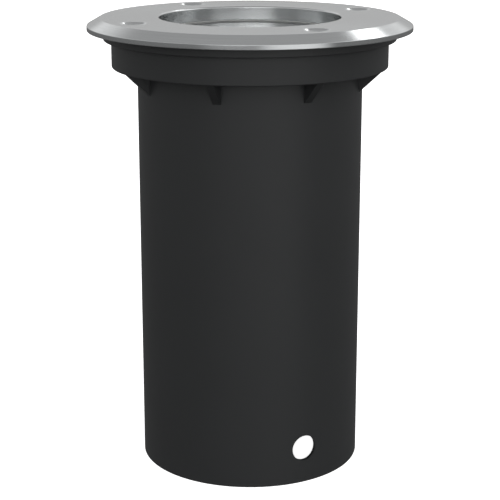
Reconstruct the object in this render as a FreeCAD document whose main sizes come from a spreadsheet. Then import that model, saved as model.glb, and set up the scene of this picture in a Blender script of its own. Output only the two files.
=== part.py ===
# A round in-ground light: a moulded mounting sleeve, a cast lamp housing that hangs in it, and a thick glass
# under a stainless cover ring. Millimetres, +Z up, the origin at the centre of the sleeve's open foot. The
# ring screws stand on the X and Y axes and the cable hole faces -Y.

import FreeCAD, Part
import math
import os
import re
import Sketcher

# How a sketch numbers its origin, its axes and the points of a line or an arc
ORIGIN_INDEX = -1
ACROSS_AXIS_INDEX = -1
UP_AXIS_INDEX = -2
START_INDEX = 1
END_INDEX = 2
CENTRE_INDEX = 3

doc = FreeCAD.newDocument("ground_light")
sheet = doc.addObject("Spreadsheet::Sheet", "sizes")
size_names = []
nodes = []


# Driving sizes and the formulas that are worked out from them

def add_sizes(sizes):
    """Puts one piece's named sizes in the sheet, each in a row of its own with its name as the alias."""
    for name, number in sizes.items():
        size_names.append(name)
        row = len(size_names)
        sheet.set(f"A{row}", name)
        sheet.set(f"B{row}", str(number))
        sheet.setAlias(f"B{row}", name)
    doc.recompute()


def value(formula):
    """The present value of a formula of the sheet's names."""
    return float(sheet.evalExpression(formula))


def linked(formula):
    """The same formula as another object writes it, with each name taken from the sheet."""
    return re.sub(r"[a-z]\w*\b(?!\()", lambda word: "sizes." + word[0], formula)


# Sketches

def origin_feature(body, role):
    for feature in body.Origin.OriginFeatures:
        if feature.Role == role:
            return feature
    raise ValueError(role)


def new_sketch(body, plane, lift="0"):
    """A sketch on one of the body's origin planes, lifted along the plane's normal."""
    sketch = body.newObject("Sketcher::SketchObject", body.Name + "_outline")
    sketch.AttachmentSupport = (origin_feature(body, plane), [""])
    sketch.MapMode = "FlatFace"
    if lift != "0":
        sketch.setExpression("AttachmentOffset.Base.z", linked(lift))
    return sketch


def bind(sketch, constraint, formula):
    """Adds a measured constraint whose size is the formula."""
    index = sketch.addConstraint(constraint)
    sketch.renameConstraint(index, f"size_{index}")
    sketch.setExpression(f"Constraints.size_{index}", linked(formula))


def pin_point(sketch, piece, end, across, up):
    """Holds one point of a sketch at the given formulas."""
    for kind, axis, formula in (("DistanceX", UP_AXIS_INDEX, across), ("DistanceY", ACROSS_AXIS_INDEX, up)):
        if formula == "0":
            sketch.addConstraint(Sketcher.Constraint("PointOnObject", piece, end, axis))
        else:
            distance = Sketcher.Constraint(kind, ORIGIN_INDEX, START_INDEX, piece, end, value(formula))
            bind(sketch, distance, formula)


def draw_axis(sketch, across, low, high):
    """A vertical construction line that a feature can turn about."""
    ends = (FreeCAD.Vector(value(across), value(low), 0), FreeCAD.Vector(value(across), value(high), 0))
    line = sketch.addGeometry(Part.LineSegment(*ends), True)
    pin_point(sketch, line, START_INDEX, across, low)
    pin_point(sketch, line, END_INDEX, across, high)


def draw_circle(sketch, across, up, radius):
    centre = FreeCAD.Vector(value(across), value(up), 0)
    circle = sketch.addGeometry(Part.Circle(centre, FreeCAD.Vector(0, 0, 1), value(radius)), False)
    pin_point(sketch, circle, CENTRE_INDEX, across, up)
    bind(sketch, Sketcher.Constraint("Radius", circle, value(radius)), radius)


def rounding(before, corner, after, radius):
    """Where a rounded corner's arc starts and ends, and the centre of its circle."""
    back = (before - corner).normalize()
    ahead = (after - corner).normalize()
    half_angle = back.getAngle(ahead) / 2
    setback = radius / math.tan(half_angle)
    middle = (back + ahead).normalize()
    centre = corner + middle * (radius / math.sin(half_angle))
    return corner + back * setback, corner + ahead * setback, centre


def draw_outline(sketch, corners):
    """A closed outline. Each corner is (across, up) or, where it is rounded, (across, up, radius)."""
    count = len(corners)
    points = [FreeCAD.Vector(value(corner[0]), value(corner[1]), 0) for corner in corners]
    arcs = {}
    for index, corner in enumerate(corners):
        if len(corner) == 3:
            neighbours = points[index - 1], points[index], points[(index + 1) % count]
            arcs[index] = rounding(*neighbours, value(corner[2]))
    lines = []
    for index in range(count):
        following = (index + 1) % count
        start = arcs[index][1] if index in arcs else points[index]
        end = arcs[following][0] if following in arcs else points[following]
        lines.append(sketch.addGeometry(Part.LineSegment(start, end), False))
    for index, corner in enumerate(corners):
        before, after = lines[index - 1], lines[index]
        if index not in arcs:
            sketch.addConstraint(Sketcher.Constraint("Coincident", before, END_INDEX, after, START_INDEX))
            pin_point(sketch, after, START_INDEX, corner[0], corner[1])
            continue
        start, end, centre = arcs[index]
        first = math.atan2(start.y - centre.y, start.x - centre.x)
        last = math.atan2(end.y - centre.y, end.x - centre.x)
        runs_back = (last - first) % (2 * math.pi) > math.pi
        if runs_back:
            first, last = last, first
        circle = Part.Circle(centre, FreeCAD.Vector(0, 0, 1), value(corner[2]))
        arc = sketch.addGeometry(Part.ArcOfCircle(circle, first, last), False)
        arc_ends = (END_INDEX, START_INDEX) if runs_back else (START_INDEX, END_INDEX)
        mark = sketch.addGeometry(Part.Point(points[index]), True)
        pin_point(sketch, mark, START_INDEX, corner[0], corner[1])
        sketch.addConstraint(Sketcher.Constraint("PointOnObject", mark, START_INDEX, before))
        sketch.addConstraint(Sketcher.Constraint("PointOnObject", mark, START_INDEX, after))
        sketch.addConstraint(Sketcher.Constraint("Tangent", before, END_INDEX, arc, arc_ends[0]))
        sketch.addConstraint(Sketcher.Constraint("Tangent", arc, arc_ends[1], after, START_INDEX))
        bind(sketch, Sketcher.Constraint("Radius", arc, value(corner[2])), corner[2])


# Features

def new_body(label):
    body = doc.addObject("PartDesign::Body", label)
    body.Label = label
    nodes.append(body)
    return body


def finish_feature(body, feature, grows):
    """Makes a feature the body's tip and tests that it added or removed material."""
    before = 0 if body.Shape.isNull() else body.Shape.Volume
    body.Tip = feature
    doc.recompute()
    change = body.Shape.Volume - before
    if change == 0 or (change > 0) != grows:
        raise ValueError(f"{feature.Label} changes the volume by {change}")
    return feature


def turn(body, sketch, axis="V_Axis", grows=True, angle=360):
    """Revolves an outline about the sketch's upright, or about its own construction line."""
    feature = body.newObject("PartDesign::Revolution" if grows else "PartDesign::Groove", body.Name + "_turn")
    feature.Profile = (sketch, [""])
    feature.ReferenceAxis = (sketch, [axis])
    feature.Angle = angle
    return finish_feature(body, feature, grows)


def pad(body, sketch, length, centred=False):
    feature = body.newObject("PartDesign::Pad", body.Name + "_pad")
    feature.Profile = (sketch, [""])
    feature.setExpression("Length", linked(length))
    feature.Midplane = centred
    return finish_feature(body, feature, True)


def pocket(body, sketch, length, backwards=False, centred=False):
    feature = body.newObject("PartDesign::Pocket", body.Name + "_pocket")
    feature.Profile = (sketch, [""])
    feature.setExpression("Length", linked(length))
    feature.Reversed = backwards
    feature.Midplane = centred
    return finish_feature(body, feature, False)


def repeat_round(body, features, count, grows=True):
    """Copies features in even steps round the body's Z axis."""
    pattern = body.newObject("PartDesign::PolarPattern", body.Name + "_pattern")
    pattern.Originals = features
    pattern.Axis = (origin_feature(body, "Z_Axis"), [""])
    pattern.Angle = 360
    pattern.Occurrences = count
    return finish_feature(body, pattern, grows)


def turned_piece(label, corners, angle=360):
    """A body that is one outline revolved about Z."""
    body = new_body(label)
    sketch = new_sketch(body, "XZ_Plane")
    draw_outline(sketch, corners)
    turn(body, sketch, angle=angle)
    return body


def turned_studs(label, plane, distance, corners, count):
    """Round pieces on upright axes at a distance from Z, as one group of separate solids."""
    body = new_body(label)
    sketch = new_sketch(body, plane)
    levels = sorted((corner[1] for corner in corners), key=value)
    draw_axis(sketch, distance, levels[0], levels[-1])
    draw_outline(sketch, [(f"{distance} + {corner[0]}", *corner[1:]) for corner in corners])
    stud = turn(body, sketch, axis="Axis0")
    if count > 1:
        repeat_round(body, [stud], count)
    return body


def sink_holes(body, plane, distance, corners, count):
    """Cuts turned holes on upright axes at a distance from Z."""
    sketch = new_sketch(body, plane)
    levels = sorted((corner[1] for corner in corners), key=value)
    draw_axis(sketch, distance, levels[0], levels[-1])
    draw_outline(sketch, [(f"{distance} + {corner[0]}", *corner[1:]) for corner in corners])
    hole = turn(body, sketch, axis="Axis0", grows=False)
    if count > 1:
        repeat_round(body, [hole], count, grows=False)


# Clearances that several pieces share

common_gaps = {
    "snug_gap": 0.05,
    "turn_gap": 0.08,
    "thread_gap": 0.12,
    "lift_gap": 0.3,
    "overrun": 2,
}
add_sizes(common_gaps)


# Mounting sleeve: a moulded tube with a wide collar and lip for the cover ring. Inside, the collar's ledge
# carries the lamp housing, and four bosses take the ring screws.

SCREW_COUNT = 4
RIB_COUNT = 8

sleeve_sizes = {
    "sleeve_height": 274.6,
    "tube_r": 69.6,
    "tube_wall": 2.4,
    "foot_round": 0.8,
    "collar_step": 15.75,
    "collar_wall": 3,
    "collar_height": 22.4,
    "collar_round": 0.8,
    "cone_height": 1.2,
    "lip_reach": 4.8,
    "lip_height": 5.7,
    "lip_round": 0.6,
    "ledge_drop": 19.4,
    "ledge_bevel": 4.3,
    "rib_thick": 5.2,
    "rib_reach": 14.9,
    "rib_drop": 35.9,
    "rib_sink": 2.5,
    "cable_hole_r": 8.1,
    "cable_hole_height": 22.7,
    "boss_inset": 3.85,
    "boss_r": 5.4,
    "boss_hole_depth": 15,
    "insert_r": 3.5,
    "insert_drop": 1,
    "insert_length": 10,
    "insert_waist": 0.5,
    "screw_r": 2.4,
}
add_sizes(sleeve_sizes)

collar_r = "(tube_r + collar_step)"
lip_r = f"({collar_r} + lip_reach)"
rib_reach_r = "(tube_r + rib_reach)"
tube_bore = "(tube_r - tube_wall)"
tube_middle = "(tube_r - tube_wall / 2)"
collar_bore = f"({collar_r} - collar_wall)"
screw_circle_r = f"({collar_bore} - boss_inset)"
collar_foot = "(sleeve_height - collar_height)"
lip_foot = "(sleeve_height - lip_height)"
ledge = "(sleeve_height - ledge_drop)"
rib_head = f"({ledge} - rib_sink)"
rib_foot = "(sleeve_height - rib_drop)"
insert_top = "(sleeve_height - insert_drop)"
insert_foot = f"({insert_top} - insert_length)"

sleeve = turned_piece("mounting_sleeve", [
    (tube_bore, "0"),
    ("tube_r", "0", "foot_round"),
    ("tube_r", f"{collar_foot} - cone_height"),
    (collar_r, collar_foot, "collar_round"),
    (collar_r, lip_foot),
    (lip_r, lip_foot, "lip_round"),
    (lip_r, "sleeve_height"),
    (collar_bore, "sleeve_height"),
    (collar_bore, f"{ledge} + ledge_bevel"),
    (f"{collar_bore} - ledge_bevel", ledge),
    (tube_bore, ledge),
])

boss_sketch = new_sketch(sleeve, "XY_Plane", rib_head)
draw_circle(boss_sketch, screw_circle_r, "0", "boss_r")
boss = pad(sleeve, boss_sketch, "ledge_drop + rib_sink")
repeat_round(sleeve, [boss], SCREW_COUNT)
sink_holes(sleeve, "XZ_Plane", screw_circle_r, [
    ("0", "sleeve_height + overrun"),
    ("insert_r + snug_gap", "sleeve_height + overrun"),
    ("insert_r + snug_gap", insert_foot),
    ("screw_r + lift_gap", insert_foot),
    ("screw_r + lift_gap", "sleeve_height - boss_hole_depth"),
    ("0", "sleeve_height - boss_hole_depth"),
], SCREW_COUNT)

rib_sketch = new_sketch(sleeve, "XZ_Plane")
draw_outline(rib_sketch, [
    (tube_middle, rib_foot),
    ("tube_r", rib_foot),
    (rib_reach_r, rib_head),
    (tube_middle, rib_head),
])
rib = pad(sleeve, rib_sketch, "rib_thick", centred=True)
repeat_round(sleeve, [rib], RIB_COUNT)

cable_hole_sketch = new_sketch(sleeve, "XZ_Plane")
draw_circle(cable_hole_sketch, "0", "cable_hole_height", "cable_hole_r")
pocket(sleeve, cable_hole_sketch, "tube_r + overrun", backwards=True)


# What nests in the sleeve: radii from the tube inwards, and levels from the cover ring's skirt downwards

nest_sizes = {
    "mouth_gap": 2.2,
    "mouth_wall": 2.8,
    "ledge_width": 3.2,
    "glass_seat_width": 3,
    "glass_cover": 9.4,
    "swivel_gap": 0.4,
    "swivel_wall": 1.6,
    "cradle_gap": 2.5,
    "cradle_wall": 1.8,
    "cradle_lip_width": 3.5,
    "lamp_gap": 0.4,
    "bowl_rim_width": 4.5,
    "skirt_drop": 1.1,
    "seal_lip": 0.8,
    "glass_thick": 8,
    "seal_foot": 1.2,
    "swivel_drop": 30.5,
    "pivot_rise": 7,
    "cradle_height": 11,
    "cradle_lip_thick": 1.6,
    "bowl_depth": 36,
    "base_height": 36,
    "holder_height": 24,
    "strap_thick": 1.2,
    "wiring_height": 23.85,
}
add_sizes(nest_sizes)

mouth_outer_r = f"({tube_bore} - mouth_gap)"
pot_mouth_r = f"({mouth_outer_r} - mouth_wall)"
pot_bore_r = f"({pot_mouth_r} - ledge_width)"
glass_r = f"({pot_mouth_r} + glass_seat_width)"
opening_r = f"({glass_r} - glass_cover)"
swivel_r = f"({pot_mouth_r} - swivel_gap)"
swivel_bore = f"({swivel_r} - swivel_wall)"
cradle_r = f"({swivel_bore} - cradle_gap)"
cradle_bore = f"({cradle_r} - cradle_wall)"
lamp_rim_r = f"({cradle_bore} - lamp_gap)"
cradle_lip_r = f"({lamp_rim_r} - cradle_lip_width)"
bowl_r = f"({lamp_rim_r} - bowl_rim_width)"

skirt_foot = "(sleeve_height - skirt_drop)"
seal_top = skirt_foot
glass_top = f"({skirt_foot} - seal_lip)"
glass_foot = f"({glass_top} - glass_thick)"
glass_seat = f"({glass_foot} - seal_foot)"
swivel_ledge = f"({glass_seat} - swivel_drop)"
pivot_level = f"({swivel_ledge} + pivot_rise)"
cradle_foot = f"({pivot_level} - cradle_height / 2)"
cradle_lip_top = f"({cradle_foot} + cradle_lip_thick)"
bowl_foot = f"({cradle_lip_top} - bowl_depth)"
base_foot = f"({bowl_foot} - base_height)"
holder_top = f"({base_foot} - snug_gap)"
holder_foot = f"({holder_top} - holder_height)"
strap_foot = f"({holder_foot} - strap_thick)"
pot_floor = f"({strap_foot} - wiring_height)"


# Threaded inserts: brass bushes pressed into the sleeve's bosses, waisted at the middle.

insert_shares = {
    "insert_waist_low_share": 0.38,
    "insert_waist_high_share": 0.62,
    "insert_slope_share": 0.05,
}
add_sizes(insert_shares)

turned_studs("threaded_inserts", "XZ_Plane", screw_circle_r, [
    ("screw_r + thread_gap", insert_foot),
    ("insert_r", insert_foot),
    ("insert_r", f"{insert_foot} + insert_length * (insert_waist_low_share - insert_slope_share)"),
    ("insert_r - insert_waist", f"{insert_foot} + insert_length * insert_waist_low_share"),
    ("insert_r - insert_waist", f"{insert_foot} + insert_length * insert_waist_high_share"),
    ("insert_r", f"{insert_foot} + insert_length * (insert_waist_high_share + insert_slope_share)"),
    ("insert_r", insert_top),
    ("screw_r + thread_gap", insert_top),
], SCREW_COUNT)


# Cover ring: a turned stainless ring with a bevelled rim, hollow underneath. Its inner skirt presses the
# glass seal down, and its outer land rests on the sleeve's lip.

ring_sizes = {
    "ring_overhang": 9.85,
    "ring_slope_width": 8,
    "ring_height": 7.6,
    "ring_rim_height": 3,
    "ring_plate": 4,
    "ring_land_inset": 0.65,
    "ring_edge_round": 0.4,
    "opening_round": 1,
    "skirt_wall": 4.7,
    "ring_boss_r": 9.5,
    "dish_r": 8.2,
    "dish_floor_r": 6.2,
    "dish_depth": 1.4,
    "dish_round": 4,
    "head_r": 4.7,
    "head_land": 0.3,
    "screw_length": 16.8,
    "socket_r": 1.7,
    "socket_depth": 1.6,
}
add_sizes(ring_sizes)

ring_r = f"({lip_r} + ring_overhang)"
ring_flat_r = f"({ring_r} - ring_slope_width)"
ring_land_r = f"({collar_r} + ring_land_inset)"
ring_top = "(sleeve_height + ring_height)"
ring_under = f"({ring_top} - ring_plate)"
head_top = f"({ring_top} - dish_depth)"
head_foot = f"({head_top} - head_land - (head_r - screw_r))"
ring_hole_r = "(screw_r + lift_gap)"

ring = turned_piece("cover_ring", [
    (opening_r, skirt_foot),
    (opening_r, ring_top, "opening_round"),
    (ring_flat_r, ring_top, "ring_edge_round"),
    (ring_r, "sleeve_height + ring_rim_height", "ring_edge_round"),
    (ring_r, "sleeve_height", "ring_edge_round"),
    (ring_land_r, "sleeve_height"),
    (ring_land_r, ring_under),
    (f"{opening_r} + skirt_wall", ring_under),
    (f"{opening_r} + skirt_wall", skirt_foot),
])

ring_boss_sketch = new_sketch(ring, "XY_Plane", "sleeve_height")
draw_circle(ring_boss_sketch, screw_circle_r, "0", "ring_boss_r")
ring_boss = pad(ring, ring_boss_sketch, "ring_height - ring_plate / 2")
repeat_round(ring, [ring_boss], SCREW_COUNT)
sink_holes(ring, "XZ_Plane", screw_circle_r, [
    ("0", f"{ring_top} + overrun"),
    ("dish_r", f"{ring_top} + overrun"),
    ("dish_r", ring_top),
    ("dish_floor_r", head_top, "dish_round"),
    ("head_r + snug_gap", head_top),
    ("head_r + snug_gap", f"{head_top} - head_land"),
    (ring_hole_r, f"{head_top} - head_land - (head_r + snug_gap - {ring_hole_r})"),
    (ring_hole_r, "sleeve_height - overrun"),
    ("0", "sleeve_height - overrun"),
], SCREW_COUNT)


# Ring screws: countersunk socket screws that sit flush with the floors of the ring's dishes.

screws = new_body("ring_screws")
screw_sketch = new_sketch(screws, "XZ_Plane")
draw_axis(screw_sketch, screw_circle_r, f"{head_top} - screw_length", head_top)
draw_outline(screw_sketch, [
    (screw_circle_r, f"{head_top} - screw_length"),
    (f"{screw_circle_r} + screw_r", f"{head_top} - screw_length"),
    (f"{screw_circle_r} + screw_r", head_foot),
    (f"{screw_circle_r} + head_r", f"{head_top} - head_land"),
    (f"{screw_circle_r} + head_r", head_top),
    (screw_circle_r, head_top),
])
screw = turn(screws, screw_sketch, axis="Axis0")
socket_sketch = new_sketch(screws, "XY_Plane", head_top)
draw_outline(socket_sketch, [
    (f"{screw_circle_r} + socket_r * cos({angle})", f"socket_r * sin({angle})" if angle % 180 else "0")
    for angle in range(0, 360, 60)
])
socket = pocket(screws, socket_sketch, "socket_depth")
repeat_round(screws, [screw, socket], SCREW_COUNT)


# Cover glass and its seal: a thick toughened disc held by its edge in a soft ring with a U section.

glass_sizes = {
    "glass_bevel": 0.8,
    "seal_wall": 1.25,
    "seal_inset": 2.2,
}
add_sizes(glass_sizes)

seal_r = f"({glass_r} + snug_gap + seal_wall)"

turned_piece("cover_glass", [
    ("0", glass_foot),
    (f"{glass_r} - glass_bevel", glass_foot),
    (glass_r, f"{glass_foot} + glass_bevel"),
    (glass_r, f"{glass_top} - glass_bevel"),
    (f"{glass_r} - glass_bevel", glass_top),
    ("0", glass_top),
])

turned_piece("glass_seal", [
    (f"{pot_mouth_r} + lift_gap", glass_seat),
    (seal_r, glass_seat),
    (seal_r, seal_top),
    (f"{opening_r} + seal_inset", seal_top),
    (f"{opening_r} + seal_inset", glass_top),
    (f"{glass_r} + snug_gap", glass_top),
    (f"{glass_r} + snug_gap", glass_foot),
    (f"{pot_mouth_r} + lift_gap", glass_foot),
])


# Lamp housing: a cast pot. Its rim holds the glass seal, its flange rests on the sleeve's ledge through a
# gasket, an inner ledge carries the swivel ring, and bosses on the floor carry the terminals.

housing_sizes = {
    "rim_wall": 3.4,
    "rim_gap": 0.6,
    "gasket_thick": 1.5,
    "flange_thick": 4,
    "boss_gap": 0.7,
    "step_drop": 1,
    "pot_wall": 2.5,
    "pot_floor_thick": 3,
    "pot_round": 6,
    "pot_inner_round": 3.5,
    "gland_thread_r": 8,
    "gland_pad_r": 14,
    "gland_pad_thick": 3,
    "plate_lift": 5,
    "stand_r": 4.5,
    "plate_screw_reach": 32,
    "earth_reach": 34,
    "small_screw_r": 2,
    "small_screw_depth": 4.5,
}
add_sizes(housing_sizes)

recess_r = f"({seal_r} + lift_gap)"
rim_r = f"({recess_r} + rim_wall)"
rim_top = f"({skirt_foot} - rim_gap)"
flange_foot = f"({ledge} + gasket_thick)"
flange_r = f"({screw_circle_r} - boss_r - boss_gap)"
pot_outer_r = f"({pot_bore_r} + pot_wall)"
pot_foot = f"({pot_floor} - pot_floor_thick)"
gland_face = f"({pot_foot} - gland_pad_thick)"
gland_bore = "(gland_thread_r + thread_gap)"
stand_top = f"({pot_floor} + plate_lift)"

housing = turned_piece("lamp_housing", [
    (gland_bore, gland_face),
    ("gland_pad_r", gland_face),
    ("gland_pad_r", pot_foot),
    (pot_outer_r, pot_foot, "pot_round"),
    (pot_outer_r, f"{swivel_ledge} - step_drop - ({mouth_outer_r} - {pot_outer_r})"),
    (mouth_outer_r, f"{swivel_ledge} - step_drop"),
    (mouth_outer_r, flange_foot),
    (flange_r, flange_foot),
    (flange_r, f"{flange_foot} + flange_thick"),
    (rim_r, f"{flange_foot} + flange_thick"),
    (rim_r, rim_top),
    (recess_r, rim_top),
    (recess_r, glass_seat),
    (pot_mouth_r, glass_seat),
    (pot_mouth_r, swivel_ledge),
    (pot_bore_r, swivel_ledge),
    (pot_bore_r, pot_floor, "pot_inner_round"),
    (gland_bore, pot_floor),
])
stand_sketch = new_sketch(housing, "XY_Plane", f"{pot_floor} - pot_floor_thick / 2")
draw_circle(stand_sketch, "plate_screw_reach", "0", "stand_r")
draw_circle(stand_sketch, "-plate_screw_reach", "0", "stand_r")
draw_circle(stand_sketch, "0", "-earth_reach", "stand_r")
pad(housing, stand_sketch, "plate_lift + pot_floor_thick / 2")
stand_hole_sketch = new_sketch(housing, "XY_Plane", stand_top)
draw_circle(stand_hole_sketch, "plate_screw_reach", "0", "small_screw_r + thread_gap")
draw_circle(stand_hole_sketch, "-plate_screw_reach", "0", "small_screw_r + thread_gap")
draw_circle(stand_hole_sketch, "0", "-earth_reach", "small_screw_r + thread_gap")
pocket(housing, stand_hole_sketch, "small_screw_depth + lift_gap")

turned_piece("flange_gasket", [
    (f"{tube_bore} + lift_gap", ledge),
    (flange_r, ledge),
    (flange_r, flange_foot),
    (f"{tube_bore} + lift_gap", flange_foot),
])


# Swivel ring: an angle-section ring that lies on the housing's inner ledge and turns there, with a stud and
# a spacer on each side for the cradle.

swivel_sizes = {
    "swivel_height": 15,
    "swivel_inset": 0.2,
    "stud_r": 2,
    "stud_bevel": 0.4,
    "stud_reach": 1.6,
    "spacer_r": 4.5,
}
add_sizes(swivel_sizes)

PIVOT_COUNT = 2

swivel = turned_piece("swivel_ring", [
    (f"{pot_bore_r} + swivel_inset", swivel_ledge),
    (swivel_r, swivel_ledge),
    (swivel_r, f"{swivel_ledge} + swivel_height"),
    (swivel_bore, f"{swivel_ledge} + swivel_height"),
    (swivel_bore, f"{swivel_ledge} + swivel_wall"),
    (f"{pot_bore_r} + swivel_inset", f"{swivel_ledge} + swivel_wall"),
])
swivel_hole_sketch = new_sketch(swivel, "YZ_Plane")
draw_circle(swivel_hole_sketch, "0", pivot_level, "stud_r + snug_gap")
pocket(swivel, swivel_hole_sketch, f"2 * {swivel_r} + overrun", centred=True)


def cross_turned_pair(label, corners):
    """Two round pieces on the tilt axis, one on each side. The corners are (distance from Z, radius)."""
    body = new_body(label)
    sketch = new_sketch(body, "XZ_Plane")
    ends = sorted((corner[0] for corner in corners), key=value)
    low = FreeCAD.Vector(value(ends[0]), value(pivot_level), 0)
    high = FreeCAD.Vector(value(ends[-1]), value(pivot_level), 0)
    line = sketch.addGeometry(Part.LineSegment(low, high), True)
    pin_point(sketch, line, START_INDEX, ends[0], pivot_level)
    pin_point(sketch, line, END_INDEX, ends[-1], pivot_level)
    draw_outline(sketch, [(reach, f"{pivot_level} + {radius}") for reach, radius in corners])
    stud = turn(body, sketch, axis="Axis0")
    repeat_round(body, [stud], PIVOT_COUNT)


stud_inner = f"({cradle_r} - stud_reach)"
cross_turned_pair("pivot_studs", [
    (stud_inner, "0"),
    (stud_inner, "stud_r - stud_bevel"),
    (f"{stud_inner} + stud_bevel", "stud_r"),
    (f"{swivel_r} - stud_bevel", "stud_r"),
    (f"{swivel_r} - snug_gap", "stud_r - stud_bevel"),
    (f"{swivel_r} - snug_gap", "0"),
])

spacer_outer = f"(sqrt({swivel_bore} ^ 2 - spacer_r ^ 2) - snug_gap)"
cross_turned_pair("pivot_spacers", [
    (f"{cradle_r} + turn_gap", "stud_r + snug_gap"),
    (f"{cradle_r} + turn_gap", "spacer_r"),
    (spacer_outer, "spacer_r"),
    (spacer_outer, "stud_r + snug_gap"),
])


# Tilt cradle: a shallow cup ring. The lamp's rim stands on its inner lip, under a sprung wire ring.

cradle_sizes = {
    "lamp_rim_height": 7.4,
    "clip_wire_r": 0.9,
    "strap_width": 14,
    "strap_tab_inset": 0.4,
    "strap_tab_gap": 0.5,
    "strap_lean_share": 0.72,
    "rivet_r": 1.2,
    "rivet_head_r": 1.9,
    "rivet_head_thick": 0.9,
}
add_sizes(cradle_sizes)

CLIP_ANGLE = 330
RIVET_COUNT = 2
lamp_rim_top = f"({cradle_lip_top} + lamp_rim_height)"
strap_lean = "strap_thick * strap_lean_share"
strap_tab_in = f"({cradle_lip_r} + strap_tab_inset)"
strap_tab_out = f"({cradle_r} - strap_tab_gap)"
rivet_reach = f"(({strap_tab_in} + {strap_lean} + {strap_tab_out}) / 2)"

cradle = turned_piece("tilt_cradle", [
    (cradle_lip_r, cradle_foot),
    (cradle_r, cradle_foot),
    (cradle_r, f"{cradle_foot} + cradle_height"),
    (cradle_bore, f"{cradle_foot} + cradle_height"),
    (cradle_bore, cradle_lip_top),
    (cradle_lip_r, cradle_lip_top),
])
cradle_hole_sketch = new_sketch(cradle, "YZ_Plane")
draw_circle(cradle_hole_sketch, "0", pivot_level, "stud_r + turn_gap")
pocket(cradle, cradle_hole_sketch, f"2 * {cradle_r} + overrun", centred=True)
cradle_rivet_sketch = new_sketch(cradle, "XY_Plane", cradle_lip_top)
draw_circle(cradle_rivet_sketch, "0", rivet_reach, "rivet_r + snug_gap")
draw_circle(cradle_rivet_sketch, "0", f"-{rivet_reach}", "rivet_r + snug_gap")
pocket(cradle, cradle_rivet_sketch, "cradle_lip_thick + overrun")

clip = new_body("lamp_clip")
clip_sketch = new_sketch(clip, "XZ_Plane")
clip_reach = f"({cradle_bore} - clip_wire_r - snug_gap)"
draw_circle(clip_sketch, clip_reach, f"{lamp_rim_top} + clip_wire_r", "clip_wire_r")
turn(clip, clip_sketch, angle=CLIP_ANGLE)


# Lamp: a 111 mm reflector with a front glass and a burner capsule, on a ceramic neck with two pins. The
# bowl's two rounded corners are shares of its width and depth.

lamp_sizes = {
    "bowl_wall": 1.5,
    "neck_r": 19.5,
    "capsule_hole_r": 8,
    "bowl_upper_round": 22,
    "bowl_lower_round": 16,
    "bowl_upper_across_share": 0.84,
    "bowl_upper_depth_share": 0.5,
    "bowl_lower_across_share": 0.42,
    "front_glass_thick": 2,
    "front_glass_sink": 0.4,
    "front_rim_wall": 1.6,
}
add_sizes(lamp_sizes)

front_glass_r = f"({lamp_rim_r} - front_rim_wall)"
front_glass_seat = f"({lamp_rim_top} - front_glass_sink - front_glass_thick)"
bowl_inner_r = f"({bowl_r} - bowl_wall)"


def bowl_across(share, mouth):
    return f"(neck_r + {share} * ({mouth} - neck_r))"


turned_piece("lamp_reflector", [
    ("capsule_hole_r", bowl_foot),
    (bowl_across("bowl_lower_across_share", bowl_r), bowl_foot, "bowl_lower_round"),
    (bowl_across("bowl_upper_across_share", bowl_r),
     f"{cradle_lip_top} - bowl_upper_depth_share * bowl_depth", "bowl_upper_round"),
    (bowl_r, cradle_lip_top),
    (lamp_rim_r, cradle_lip_top),
    (lamp_rim_r, lamp_rim_top),
    (front_glass_r, lamp_rim_top),
    (front_glass_r, front_glass_seat),
    (bowl_inner_r, front_glass_seat),
    (bowl_inner_r, f"{cradle_lip_top} + bowl_wall"),
    (bowl_across("bowl_upper_across_share", bowl_inner_r),
     f"{cradle_lip_top} + bowl_wall - bowl_upper_depth_share * bowl_depth", "bowl_upper_round - bowl_wall"),
    (bowl_across("bowl_lower_across_share", bowl_inner_r), f"{bowl_foot} + bowl_wall",
     "bowl_lower_round - bowl_wall"),
    ("capsule_hole_r", f"{bowl_foot} + bowl_wall"),
])

turned_piece("lamp_front_glass", [
    ("0", front_glass_seat),
    (f"{front_glass_r} - snug_gap", front_glass_seat),
    (f"{front_glass_r} - snug_gap", f"{front_glass_seat} + front_glass_thick"),
    ("0", f"{front_glass_seat} + front_glass_thick"),
])

lamp_neck_sizes = {
    "capsule_r": 6.5,
    "capsule_height": 27,
    "capsule_round": 5,
    "base_cap_r": 12.5,
    "base_cap_height": 12,
    "base_shoulder_r": 16.5,
    "base_shoulder_height": 20,
    "pin_reach": 5,
    "pin_r": 1.5,
    "pin_head_r": 2.5,
    "pin_head_height": 2.5,
    "pin_length": 7,
}
add_sizes(lamp_neck_sizes)

pin_foot = f"({base_foot} - pin_length)"
PIN_COUNT = 2

turned_piece("lamp_capsule", [
    ("0", bowl_foot),
    ("capsule_r", bowl_foot),
    ("capsule_r", f"{bowl_foot} + capsule_height", "capsule_round"),
    ("0", f"{bowl_foot} + capsule_height"),
])

turned_piece("lamp_base", [
    ("0", base_foot),
    ("base_cap_r", base_foot),
    ("base_cap_r", f"{base_foot} + base_cap_height"),
    ("base_shoulder_r", f"{base_foot} + base_shoulder_height"),
    ("neck_r", bowl_foot),
    ("0", bowl_foot),
])

turned_studs("lamp_pins", "XZ_Plane", "pin_reach", [
    ("0", pin_foot),
    ("pin_head_r", pin_foot),
    ("pin_head_r", f"{pin_foot} + pin_head_height"),
    ("pin_r", f"{pin_foot} + pin_head_height"),
    ("pin_r", base_foot),
    ("0", base_foot),
], PIN_COUNT)


# Lampholder: a ceramic block with two pin wells and a contact in each, screwed to a steel strap that hangs
# from the cradle's lip.

holder_sizes = {
    "holder_r": 14,
    "holder_round": 1.5,
    "well_gap": 0.4,
    "well_spare": 2.2,
    "contact_thick": 1.9,
    "holder_screw_r": 1.25,
    "holder_screw_reach": 9,
    "holder_screw_depth": 7,
    "holder_screw_head_r": 2.4,
    "holder_screw_head_thick": 1.6,
    "strap_foot_half": 20,
    "lead_hole_r": 5,
}
add_sizes(holder_sizes)

well_foot = f"({pin_foot} - well_spare)"

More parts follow.
